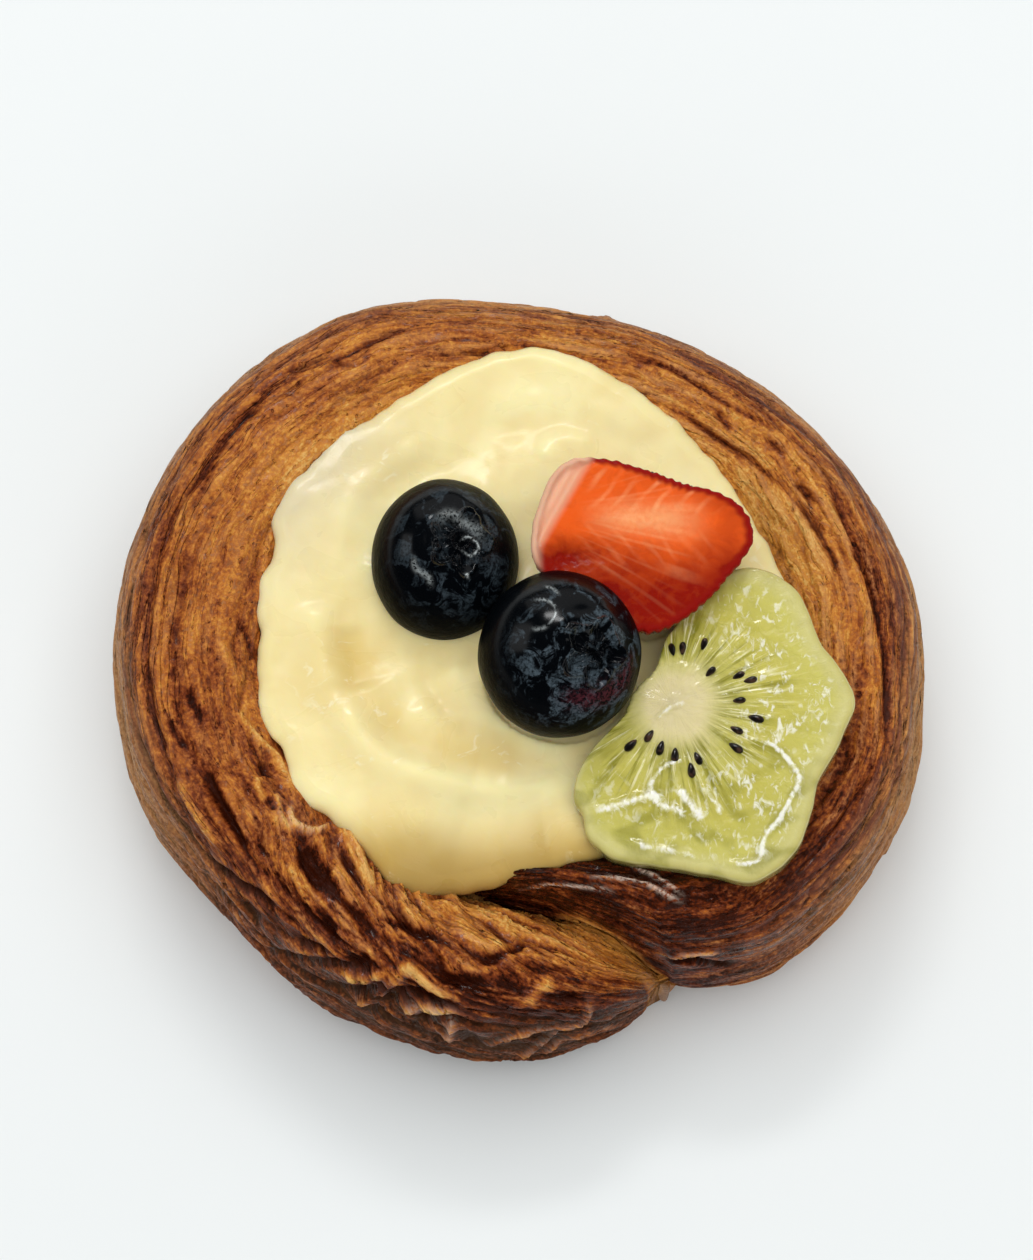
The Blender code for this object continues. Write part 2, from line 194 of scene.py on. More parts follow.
def wander(degrees: Array, line: Array | float) -> Array:
    """A slow uneven wave between about -1 and 1 along the rope, of its own for each line."""
    phase = 2.399963 * (line + 1)  # the golden angle keeps the lines apart
    turn = np.radians(degrees)
    waves = ((0.5, 2.3, 1.0), (0.32, 5.1, 2.7), (0.2, 11.0, 5.0))
    return sum(size * np.sin(rate * turn + share * phase) for size, rate, share in waves)


def box_blur(values: Array, reach: int, axis: int) -> Array:
    """Averages each value with its neighbours along one axis.

    Args:
        values: A grid of numbers.
        reach: How many neighbours on each side count.
        axis: The axis to average along.

    Returns:
        The grid's averages, of the same shape.
    """
    padding = [(0, 0)] * values.ndim
    padding[axis] = (reach, reach)
    padded = np.moveaxis(np.pad(values, padding, mode="edge"), axis, 0)
    total = sum(padded[k : k + values.shape[axis]] for k in range(2 * reach + 1))
    return np.moveaxis(total / (2 * reach + 1), 0, axis)


@dataclass(frozen=True)
class Stroke:
    """A ridge, or with a rise below 0 a groove, along a smooth line that fades at both ends."""

    places: tuple[Place, ...]
    rise: float
    width: float
    tone: float = 0.0  # how much browner it makes the crust, or how brightly it glints on a berry
    frost: float = 0.0  # how much dried glaze lies on it and catches the light, partly as a painted glint

    def line(self) -> Array:
        """The stroke's smooth centre line as points."""
        knots = np.linspace(0, 1, len(self.places))
        at = np.linspace(0, 1, STROKE_STEPS * (len(self.places) - 1) + 1)
        columns = [through(tuple(zip(knots, column)), at) for column in zip(*self.places)]
        return np.stack(columns, -1)

    def weight(self, x: Array, y: Array) -> Array:
        """How strongly the stroke is felt at each place.

        Args:
            x: First coordinates of the places.
            y: Second coordinates of the places.

        Returns:
            1 on the centre line, falling to 0 beside it and at its ends.
        """
        points = self.line()
        low, high = points.min(axis=0) - 3 * self.width, points.max(axis=0) + 3 * self.width
        near = (x > low[0]) & (x < high[0]) & (y > low[1]) & (y < high[1])
        felt = np.zeros(np.shape(x))
        place = np.stack([x[near], y[near]], -1)
        if not len(place):
            return felt
        best = np.full(len(place), 1e9)
        along = np.zeros(len(place))
        for n, (a, b) in enumerate(zip(points[:-1], points[1:])):
            edge = b - a
            t = np.clip(((place - a) @ edge) / (edge @ edge), 0, 1)
            distance = np.linalg.norm(place - a - t[:, None] * edge, axis=1)
            closer = distance < best
            best = np.where(closer, distance, best)
            along = np.where(closer, (n + t) / (len(points) - 1), along)
        fade = ease(np.minimum(along, 1 - along), 0.0, 0.18)
        felt[near] = np.exp(-((best / self.width) ** 2)) * (0.15 + 0.85 * fade)
        return felt

    def relief(self, x: Array, y: Array) -> Array:
        """The stroke's height at each place."""
        return self.rise * self.weight(x, y)


def crease(rise: float, width: float, tone: float, frost: float, places: tuple[Place, ...]) -> Stroke:
    """A stroke on the rope of dough.

    Args:
        rise: Its height, or with a value below 0 its depth.
        width: Half its width.
        tone: How much browner it is.
        frost: How much dried glaze lies on it, partly painted as a pale glint.
        places: Angles along the rope, and millimetres across its skin from the outer foot.

    Returns:
        The stroke, in millimetres along the rope and across it.
    """
    return Stroke(tuple((math.radians(a) * ROPE_RADIUS, b) for a, b in places), rise, width, tone, frost)


# Meshes


def grid_faces(rows: int, columns: int) -> list[tuple[int, ...]]:
    """Quads between closed rings of equal length.

    Args:
        rows: The number of rings.
        columns: The points in each ring.

    Returns:
        The faces, facing outwards where the rings turn counter-clockwise on the way up.
    """
    ring, step = np.meshgrid(np.arange(rows - 1), np.arange(columns), indexing="ij")
    a = ring * columns + step
    b = ring * columns + (step + 1) % columns
    return np.stack([a, b, b + columns, a + columns], -1).reshape(-1, 4).tolist()


def closed_loft(rings: Array, flip: bool = False) -> tuple[Array, list[tuple[int, ...]]]:
    """A solid through closed rings, each end closed by a fan.

    Args:
        rings: An array of rings by points by three coordinates.
        flip: Turns the faces over.

    Returns:
        The points and the faces.
    """
    rows, columns = rings.shape[:2]
    points = np.concatenate([rings.reshape(-1, 3), rings[:1].mean(axis=1), rings[-1:].mean(axis=1)])
    faces = grid_faces(rows, columns)
    low, high, last = rows * columns, rows * columns + 1, (rows - 1) * columns
    for k in range(columns):
        after = (k + 1) % columns
        faces.append((after, k, low))
        faces.append((last + k, last + after, high))
    return points, [face[::-1] for face in faces] if flip else faces


def with_fans(values: Array) -> Array:
    """One value for each point of a closed loft, from a grid of values."""
    flat = values.reshape(-1, *values.shape[2:])
    return np.concatenate([flat, values[:1].mean(axis=1), values[-1:].mean(axis=1)])


def solid(name: str, points: Array, faces: list, looks: dict[str, Array], finish: bpy.types.Material):
    """Makes one smooth mesh object.

    Args:
        name: The piece's name.
        points: The points in millimetres, before the tart is centred.
        faces: The faces as point numbers.
        looks: Numbers, or triples, that the finish reads, one for each point.
        finish: The material.

    Returns:
        The new object, linked to the scene.
    """
    mesh = bpy.data.meshes.new(name)
    mesh.from_pydata(((points + TART_SHIFT) * MM).tolist(), [], faces)
    for look, values in looks.items():
        kind, key = ("FLOAT_VECTOR", "vector") if values.ndim == 2 else ("FLOAT", "value")
        layer = mesh.attributes.new(look, kind, "POINT")
        layer.data.foreach_set(key, values.astype(np.float32).ravel())
    mesh.materials.append(finish)
    mesh.shade_smooth()
    made = bpy.data.objects.new(name, mesh)
    bpy.context.scene.collection.objects.link(made)
    return made


def lofted(name: str, rings: Array, looks: dict[str, Array], finish: bpy.types.Material, flip: bool = False):
    """Makes one smooth mesh object from closed rings.

    Args:
        name: The piece's name.
        rings: An array of rings by points by three coordinates.
        looks: What the finish reads at each point of the rings.
        finish: The material.
        flip: Turns the faces over.

    Returns:
        The new object, linked to the scene.
    """
    points, faces = closed_loft(rings, flip)
    return solid(name, points, faces, {look: with_fans(values) for look, values in looks.items()}, finish)


def many_lofts(pieces: list[Array]) -> tuple[Array, list[tuple[int, ...]]]:
    """Many small solids with equal numbers of points as one mesh.

    Args:
        pieces: The rings of each solid.

    Returns:
        The points and the faces.
    """
    points, faces = [], []
    for rings in pieces:
        own, sides = closed_loft(rings)
        faces += [tuple(k + len(points) * len(own) for k in side) for side in sides]
        points.append(own)
    return np.concatenate(points), faces


def spun(radius: Array, turn: Array, height: Array) -> Array:
    """Points by their distance from the upright axis, their direction in radians and their height."""
    return np.stack(np.broadcast_arrays(radius * np.cos(turn), radius * np.sin(turn), height), -1)


def ball(reach: float, rings: int, sectors: int) -> tuple[Array, Array, Array]:
    """The rings of a ball of radius 1.

    Args:
        reach: Height of the last ring.
        rings: The number of rings.
        sectors: The points in each ring.

    Returns:
        The height of each point, and its two places in its ring.
    """
    level = np.linspace(-reach, reach, rings)[:, None]
    turn = np.linspace(0, 2 * math.pi, sectors, endpoint=False)[None, :]
    flat = np.sqrt(1 - level**2)
    return level + 0 * turn, flat * np.cos(turn), flat * np.sin(turn)


def turned(points: Array, middle: Triple, tilt: Place) -> Array:
    """Tilts a piece that was made flat about X and then Y, and moves it to its middle.

    Args:
        points: The flat piece's points.
        middle: Where its origin goes.
        tilt: The two angles.

    Returns:
        The points in place.
    """
    a, b = (math.radians(t) for t in tilt)
    about_x = np.array([[1, 0, 0], [0, math.cos(a), -math.sin(a)], [0, math.sin(a), math.cos(a)]])
    about_y = np.array([[math.cos(b), 0, math.sin(b)], [0, 1, 0], [-math.sin(b), 0, math.cos(b)]])
    return points @ (about_y @ about_x).T + np.array(middle)


def place_on(piece: bpy.types.Object, slot: Slot, *nodes: str) -> None:
    """Rides a finished piece on the tart, hides the plain solids that it replaces, and logs its number of
    faces.

    Args:
        piece: The finished piece.
        slot: The foodstuff. Not used.
        nodes: The plain solids that it replaces.
    """
    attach(piece, BODY)
    if nodes:
        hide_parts(*nodes)
    log.info("%s: %d faces", piece.name, len(piece.data.polygons))


# Finishes


class Graph:
    """The node tree of one material, with a Principled shader at its end."""

    def __init__(self, name: str) -> None:
        """Starts a material with nothing but its shader."""
        self.material = bpy.data.materials.new(name)
        self.material.use_nodes = True
        self.tree = self.material.node_tree
        self.shader = self.tree.nodes["Principled BSDF"]

    def add(self, kind: str, inputs: dict | None = None, **settings):
        """Adds one node.

        Args:
            kind: The node's type, without its prefix.
            inputs: Numbers, colours or sockets for its inputs, by name or number.
            settings: The node's own settings.

        Returns:
            The node.
        """
        node = self.tree.nodes.new("ShaderNode" + kind)
        for key, value in settings.items():
            setattr(node, key, value)
        for key, value in (inputs or {}).items():
            self.feed(node.inputs[key], value)
        return node

    def feed(self, socket, value) -> None:
        """Links a socket to another, or sets it to a number or colour."""
        if isinstance(value, bpy.types.NodeSocket):
            self.tree.links.new(value, socket)
        else:
            socket.default_value = value

    def look(self, name: str, part: str = "Fac"):
        """Reads one of the mesh's own numbers or triples."""
        return self.add("Attribute", attribute_name=name).outputs[part]

    def place(self):
        """The place on the piece, in metres."""
        return self.add("TexCoord").outputs["Object"]

    def stretch(self, vector, factors: Triple):
        """Multiplies a vector part by part."""
        return self.add("VectorMath", {0: vector, 1: factors}, operation="MULTIPLY").outputs[0]

    def noise(self, vector, scale: float, detail: float, roughness: float = 0.55, swirl: float = 0.0):
        """Cloudy noise from 0 to 1."""
        values = {"Vector": vector, "Scale": scale, "Detail": detail}
        return self.add("TexNoise", values | {"Roughness": roughness, "Distortion": swirl}).outputs["Fac"]

    def math(self, operation: str, a, b=0.0, clamp: bool = False):
        """One sum of two numbers or sockets."""
        return self.add("Math", {0: a, 1: b}, operation=operation, use_clamp=clamp).outputs[0]

    def times(self, a, b, clamp: bool = False):
        """The product of two numbers or sockets."""
        return self.math("MULTIPLY", a, b, clamp)

    def total(self, first, *more, clamp: bool = False):
        """The sum of numbers or sockets, held between 0 and 1 if clamped."""
        for part in more[:-1]:
            first = self.math("ADD", first, part)
        return self.math("ADD", first, more[-1], clamp)

    def span(self, value, low: float, high: float, bottom: float = 0.0, top: float = 1.0):
        """Carries the range low to high over to bottom to top, held at both ends."""
        values = {"Value": value, "From Min": low, "From Max": high, "To Min": bottom, "To Max": top}
        return self.add("MapRange", values, interpolation_type="SMOOTHSTEP").outputs["Result"]

    def crack(self, cloud, width: float):
        """Thin wandering lines: 1 where a cloud passes its middle value, and 0 a little off it."""
        return self.span(self.math("ABSOLUTE", self.math("SUBTRACT", cloud, 0.5)), width, 0.0)

    def cells(self, vector):
        """Uneven cells: a number from 0 to 1 that each has to itself, and the distance to its border."""
        own, border = (
            self.add("TexVoronoi", {"Vector": vector, "Scale": 1.0}, voronoi_dimensions="2D", feature=feature)
            for feature in ("F1", "DISTANCE_TO_EDGE")
        )
        return self.add("SeparateColor", {0: own.outputs["Color"]}).outputs[0], border.outputs["Distance"]

    def shifted(self, vector, scales: Triple, reach: Triple):
        """Moves a vector about by cloudy noise of its own size in each direction."""
        values = {"Vector": self.stretch(vector, scales), "Scale": 1.0, "Detail": 2.0}
        cloud = self.add("TexNoise", values).outputs["Color"]
        return self.add("VectorMath", {0: cloud, 1: reach, 2: vector}, operation="MULTIPLY_ADD").outputs[0]

    def ramp(self, value, stops: tuple[tuple[float, Colour], ...]):
        """Colours a number by stops between 0 and 1."""
        node = self.add("ValToRGB", {0: value})
        points = node.color_ramp.elements
        while len(points) < len(stops):
            points.new(1.0)
        for point, (position, colour) in zip(points, stops):
            point.position, point.color = position, colour
        return node.outputs["Color"]

    def blend(self, share, first, second):
        """Mixes two colours."""
        return self.add("Mix", {0: share, 6: first, 7: second}, data_type="RGBA").outputs[2]

    def layered(self, colour, *coats: tuple):
        """Lays coats of colour over one another, each by its share."""
        for share, coat in coats:
            colour = self.blend(share, colour, coat)
        return colour

    def relief(self, *layers: tuple):
        """Adds layers of fine relief, each with its height, its depth in millimetres and its strength."""
        under = {}
        for height, depth, strength in layers:
            values = {"Height": height, "Distance": depth * MM, "Strength": strength}
            under = {"Normal": self.add("Bump", values | under).outputs["Normal"]}
        return under["Normal"]

    def finished(self, **values) -> bpy.types.Material:
        """Sets the shader's sockets by name.

        Args:
            values: Sockets, numbers or colours. An underscore in a name stands for a space.

        Returns:
            The finished material.
        """
        for key, value in values.items():
            self.feed(self.shader.inputs[key.replace("_", " ")], value)
        return self.material


@dataclass(frozen=True)
class CrustFinish:
    """Baked laminated dough under an egg glaze: fibres along the rope, browned on its outer shoulder. Shade
    in its crevices and low places, and light on its crests, speckle and dried glaze, are painted into its
    colour.
    """

    stops: tuple[tuple[float, Colour], ...] = (
        (0.00, paint(222, 170, 94)),
        (0.16, paint(208, 140, 60)),
        (0.36, paint(184, 110, 44)),
        (0.54, paint(150, 79, 32)),
        (0.70, paint(114, 51, 20)),
        (0.86, paint(82, 31, 9)),
        (1.00, paint(44, 14, 4)),
    )
    purple: Colour = paint(108, 62, 50)
    tan: Colour = paint(190, 141, 90)
    # Painted highlight colour: pale pinkish speckle and lighter strip middles, like a sheen on small facets.
    dust_and_sheen: Colour = paint(212, 160, 104)
    olive: Colour = paint(158, 114, 36)
    # Painted shade colour for the crevices, splits and low places of the relief.
    crevice_shade: Colour = paint(54, 17, 4)
    # Pale dried glaze, partly a painted glint where it would catch the light.
    frost: Colour = paint(232, 206, 186)
    long_fibre: Triple = (0.05, 0.7, 1.0)
    fine_fibre: Triple = (0.16, 2.0, 1.0)
    pit: Triple = (0.7, 1.7, 1.0)
    strip: Triple = (0.07, 0.8, 1.0)
    shred: Triple = (0.3, 1.7, 1.0)
    crumb: Triple = (1.1, 2.2, 1.0)

    def material(self) -> bpy.types.Material:
        """Makes the crust's material."""
        g = Graph("crust")
        coarse = g.look("coarse")
        bent = g.shifted(g.look("strand", "Vector"), (0.07, 0.16, 1.0), (4.0, 2.6, 0.0))
        torn = g.shifted(bent, (0.3, 0.8, 1.0), (2.0, 0.5, 0.0))
        long = g.noise(g.stretch(bent, self.long_fibre), 1.0, 3.0, 0.5)
        fine = g.noise(g.stretch(torn, self.fine_fibre), 1.0, 2.0, 0.5)
        pits = g.span(g.noise(g.stretch(torn, self.pit), 1.0, 1.0), 0.64, 0.72)
        strip, strip_edge = g.cells(g.stretch(torn, self.strip))
        shred, shred_edge = g.cells(g.stretch(torn, self.shred))
        grain = g.noise(g.place(), 2300.0, 2.0, 0.6)
        mottle = g.noise(g.place(), 300.0, 4.0, 0.6)
        crumb = g.noise(g.stretch(torn, self.crumb), 1.0, 2.0, 0.6)
        slits = g.times(g.crack(long, 0.03), g.look("lined"))
        strip_gaps = g.times(g.span(strip_edge, 0.12, 0.0), g.span(mottle, 0.45, 0.62, 0.1, 1.0))
        shred_gaps = g.times(g.span(shred_edge, 0.1, 0.0), g.span(fine, 0.48, 0.62, 0.0, 0.8))
        gaps = g.times(g.total(strip_gaps, shred_gaps), coarse)
        own = g.total(g.span(strip, 0.0, 1.0, -0.05, 0.05), g.span(shred, 0.0, 1.0, -0.08, 0.08))
        tone = g.total(
            g.look("bake"),
            g.times(own, g.span(coarse, 0.0, 1.0, 0.35, 1.0)),
            g.span(long, 0.33, 0.67, -0.04, 0.04),
            g.span(fine, 0.3, 0.7, -0.05, 0.05),
            g.span(mottle, 0.35, 0.65, -0.06, 0.06),
            g.span(crumb, 0.33, 0.67, -0.13, 0.11),
            g.span(grain, 0.3, 0.7, -0.1, 0.1),
            g.times(slits, 0.16),
            g.times(pits, 0.12),
            g.times(gaps, 0.14),
            clamp=True,
        )
        # Painted highlights: lighter middles of the strips, and pale speckle where the grain and crumb peak.
        highlight_speckle = g.times(g.span(strip_edge, 0.12, 0.4, 0.0, 0.3), coarse)
        highlight_speckle = g.total(highlight_speckle, g.span(g.total(grain, crumb), 1.04, 1.3, 0.0, 0.4))
        colour = g.layered(
            g.ramp(tone, self.stops),
            (g.times(highlight_speckle, g.span(tone, 0.4, 0.85, 1.0, 0.0)), self.dust_and_sheen),
            (g.times(g.look("dull"), g.span(g.total(fine, grain), 0.75, 1.2, 1.0, 0.5)), self.tan),
            (g.times(g.look("olive"), 0.6), self.olive),
            (g.times(g.look("plum"), g.span(g.total(long, fine), 0.85, 1.15)), self.purple),
            # Painted shade in the crevices and low places.
            (g.look("hollow"), self.crevice_shade),
            # Dried glaze, with painted glints on it.
            (g.times(g.look("frost"), g.span(g.total(grain, fine), 0.8, 1.1), clamp=True), self.frost),
        )
        rounded = g.total(g.span(strip_edge, 0.0, 0.3), g.span(shred_edge, 0.0, 0.3, 0.0, 0.3))
        rounded = g.times(rounded, g.span(coarse, 0.0, 1.0, 0.15, 0.7))
        sunk = g.total(g.times(slits, 0.7), g.times(pits, 0.5))
        relief = g.relief(
            (g.math("SUBTRACT", rounded, sunk), 0.34, 1.0),
            (g.total(g.math("SUBTRACT", fine, crumb), mottle), 0.24, 0.9),
            (grain, 0.12, 0.9),
        )
        rough = g.math("SUBTRACT", 0.55, g.times(g.look("gloss"), 0.3))
        return g.finished(
            Base_Color=colour,
            Roughness=g.total(rough, g.span(grain, 0.35, 0.65, -0.1, 0.1), clamp=True),
            Normal=relief,
            Specular_IOR_Level=0.12,
            Coat_Weight=g.times(g.look("gloss"), g.span(g.total(fine, crumb), 0.9, 1.2, 0.1, 0.6)),
            Coat_Roughness=0.17,
            Subsurface_Weight=0.06,
            Subsurface_Radius=(1.0, 0.4, 0.15),
            Subsurface_Scale=0.8 * MM,
        )


@dataclass(frozen=True)
class CustardFinish:
    """Set custard: pale yellow, with deeper yellow painted as shade where its folds dip and on its front
    slope, whitish where it thins out, and painted glints on its glaze.
    """

    pale: Colour = paint(249, 235, 178)
    deep: Colour = paint(220, 188, 104)
    milky: Colour = paint(222, 208, 168)
    # Painted shade colour of the front slope.
    front: Colour = paint(188, 156, 86)
    # Painted highlight colour of the glints on the glaze.
    glaze_glint: Colour = paint(255, 250, 226)

    def material(self) -> bpy.types.Material:
        """Makes the custard's material."""
        g = Graph("custard_cream")
        cloud = g.noise(g.place(), 90.0, 3.0, 0.5, 0.4)
        swirl = g.noise(g.stretch(g.place(), (1.0, 1.5, 1.0)), 160.0, 3.0, 0.45, 0.8)
        # Deeper yellow where the folds dip and towards the front: painted shade, with random tone from the
        # cloud.
        depth = g.total(g.look("depth"), g.span(cloud, 0.35, 0.65, -0.14, 0.14), clamp=True)
        wisps = g.noise(g.stretch(g.place(), (1.0, 1.25, 1.0)), 330.0, 4.0, 0.6, 1.4)
        # Pale glints on the glaze: painted highlights.
        glint = g.times(g.span(wisps, 0.58, 0.7), g.span(cloud, 0.5, 0.62))
        colour = g.layered(
            self.pale,
            (depth, self.deep),
            # Painted shade on the front slope.
            (g.look("front"), self.front),
            (g.look("thin"), self.milky),
            (g.times(glint, 0.4), self.glaze_glint),
        )
        return g.finished(
            Base_Color=colour,
            Roughness=g.span(swirl, 0.3, 0.7, 0.24, 0.42),
            Normal=g.relief((swirl, 0.13, 0.3), (wisps, 0.06, 0.5)),
            Subsurface_Weight=0.45,
            Subsurface_Radius=(1.0, 0.75, 0.3),
            Subsurface_Scale=2.2 * MM,
            Coat_Weight=0.18,
            Coat_Roughness=0.12,
        )


@dataclass(frozen=True)
class BerryFinish:
    """Blueberry skin under clear glaze: nearly black, with powdery patches of bloom round the crown."""

    skin: Colour = paint(4, 6, 9)
    bloom: Colour = paint(70, 82, 90)
    blush: Colour = paint(84, 38, 46)
    glint: Colour = paint(206, 214, 214)

    def material(self) -> bpy.types.Material:
        """Makes the berry skin's material."""
        g = Graph("berry_skin")
        local = g.look("local", "Vector")
        cloud = g.noise(local, 4.2, 6.0, 0.62, 0.9)
        speck = g.noise(local, 26.0, 4.0, 0.7)
        dust_and_sheen = g.times(g.span(cloud, 0.5, 0.6), g.span(speck, 0.3, 0.62))
        dust_and_sheen = g.times(dust_and_sheen, g.look("bloom"), clamp=True)
        colour = g.layered(
            self.skin,
            (dust_and_sheen, self.bloom),
            (g.times(g.look("blush"), g.span(speck, 0.4, 0.6)), self.blush),
            (g.times(g.look("glint"), g.span(speck, 0.36, 0.56), clamp=True), self.glint),
        )
        return g.finished(
            Base_Color=colour,
            Roughness=g.total(0.34, g.times(dust_and_sheen, 0.3)),
            Normal=g.relief((g.noise(local, 9.0, 5.0, 0.6), 0.22, 0.5)),
            Coat_Weight=g.look("sheen"),
            Coat_Roughness=0.16,
            Specular_IOR_Level=0.02,
        )


@dataclass(frozen=True)
class KiwiFinish:
    """Glazed kiwi flesh: a pale core, light rays through green jelly, a yellower border, and painted
    highlights where the glaze glints.
    """

    stops: tuple[tuple[float, Colour], ...] = (
        (0.00, paint(226, 212, 164)),
        (0.18, paint(226, 212, 160)),
        (0.26, paint(214, 204, 136)),
        (0.36, paint(200, 192, 102)),
        (0.60, paint(202, 192, 92)),
        (0.86, paint(208, 200, 108)),
        (0.95, paint(214, 206, 138)),
        (1.00, paint(196, 184, 112)),
    )
    ray: Colour = paint(240, 234, 184)
    jelly: Colour = paint(134, 130, 34)
    # Painted highlight colour of the glints on the glaze.
    glaze_glint: Colour = paint(252, 250, 236)

    def material(self) -> bpy.types.Material:
        """Makes the kiwi flesh's material."""
        g = Graph("kiwi_flesh")
        slice_ = g.look("slice", "Vector")
        rays = g.noise(g.stretch(slice_, (11.0, 11.0, 0.12)), 1.0, 4.0, 0.6)
        fine = g.noise(g.stretch(slice_, (26.0, 26.0, 0.2)), 1.0, 4.0, 0.6)
        cloud = g.noise(g.place(), 260.0, 4.0, 0.6, 0.5)
        wobble = g.noise(g.place(), 620.0, 4.0, 0.6, 1.2)
        deep = g.times(g.look("deep"), g.span(cloud, 0.3, 0.65, 0.35, 1.0))
        dark = g.times(g.look("rayed"), g.span(rays, 0.53, 0.36))
        light = g.times(g.look("rayed"), g.span(fine, 0.53, 0.66))
        patch = g.noise(g.place(), 420.0, 2.0, 0.5, 0.6)
        streak = g.noise(g.stretch(g.place(), (1.0, 0.6, 1.0)), 1150.0, 3.0, 0.55, 1.0)
        # Painted highlights: clusters of glints on the right of the slice.
        glint_net = g.times(g.look("glint_net"), g.span(patch, 0.4, 0.55))
        glint_net = g.times(glint_net, g.span(streak, 0.5, 0.66), clamp=True)
        # Painted highlights along the glaze's ridges.
        ragged = g.total(g.look("glaze_glint"), g.span(g.total(wobble, streak), 0.8, 1.2, -0.14, 0.14))
        glaze_glint = g.total(g.span(ragged, 0.26, 0.62, 0.0, 0.6), g.span(ragged, 0.5, 0.7, 0.0, 0.35))
        colour = g.layered(
            g.ramp(g.look("reach"), self.stops),
            (g.times(deep, 0.75), self.jelly),
            (g.times(dark, 0.8), self.jelly),
            (g.times(light, 0.8), self.ray),
            (g.times(glint_net, 0.78), self.glaze_glint),
            (glaze_glint, self.glaze_glint),
        )
        return g.finished(
            Base_Color=colour,
            Roughness=0.16,
            Normal=g.relief((fine, 0.14, 0.6), (g.total(wobble, g.times(glint_net, 0.3)), 0.2, 0.9)),
            Subsurface_Weight=0.35,
            Subsurface_Radius=(0.9, 1.0, 0.3),
            Subsurface_Scale=1.8 * MM,
            Coat_Weight=0.9,
            Coat_Roughness=0.04,
        )


@dataclass(frozen=True)
class StrawberryFinish:
    """Cut strawberry: red flesh with pale veins that fan out from a pale middle, and a red skin."""

    flesh: Colour = paint(232, 93, 27)
    deep: Colour = paint(140, 20, 6)
    vein: Colour = paint(250, 186, 128)
    skin: Colour = paint(140, 18, 12)
    shoulder: Colour = paint(234, 190, 158)

    def material(self) -> bpy.types.Material:
        """Makes the strawberry's material."""
        g = Graph("strawberry_flesh")
        grain = g.noise(g.place(), 1500.0, 4.0, 0.6)
        mottle = g.noise(g.place(), 330.0, 4.0, 0.6, 0.5)
        redness = g.total(g.look("redness"), g.span(mottle, 0.35, 0.65, -0.12, 0.12), clamp=True)
        vein = g.times(g.look("vein"), g.span(g.total(grain, mottle), 0.7, 1.2, 0.65, 1.0))
        colour = g.layered(
            self.flesh,
            (redness, self.deep),
            (vein, self.vein),
            (g.look("skin"), self.skin),
            (g.look("shoulder"), self.shoulder),
        )
        return g.finished(
            Base_Color=colour,
            Roughness=0.26,
            Normal=g.relief((grain, 0.1, 0.5)),
            Subsurface_Weight=0.3,
            Subsurface_Radius=(1.0, 0.3, 0.12),
            Subsurface_Scale=1.6 * MM,
            Specular_IOR_Level=0.09,
            Coat_Weight=0.07,
            Coat_Roughness=0.12,
        )


@dataclass(frozen=True)
class SeedFinish:
    """Small hard seeds, glossy, a little lighter along one side."""

    name: str
    dark: Colour
    light: Colour

    def material(self) -> bpy.types.Material:
        """Makes the seeds' material."""
        g = Graph(self.name)
        patch = g.noise(g.place(), 1400.0, 3.0, 0.5)
        return g.finished(
            Base_Color=g.blend(g.span(patch, 0.45, 0.68), self.dark, self.light),
            Roughness=0.28,
            Normal=g.relief((g.noise(g.place(), 4000.0, 3.0), 0.04, 0.5)),
            Coat_Weight=0.6,
            Coat_Roughness=0.06,
        )


@dataclass(frozen=True)
class FloorFinish:
    """Smooth pale paper."""

    shade: Colour = paint(236, 239, 239)
    cloud: Colour = paint(233, 236, 236)

    def material(self) -> bpy.types.Material:
        """Makes the floor's material."""
        g = Graph("pale_paper")
        colour = g.blend(g.noise(g.place(), 14.0, 3.0), self.shade, self.cloud)
        return g.finished(Base_Color=colour, Roughness=0.8, Specular_IOR_Level=0.2)


# The dough


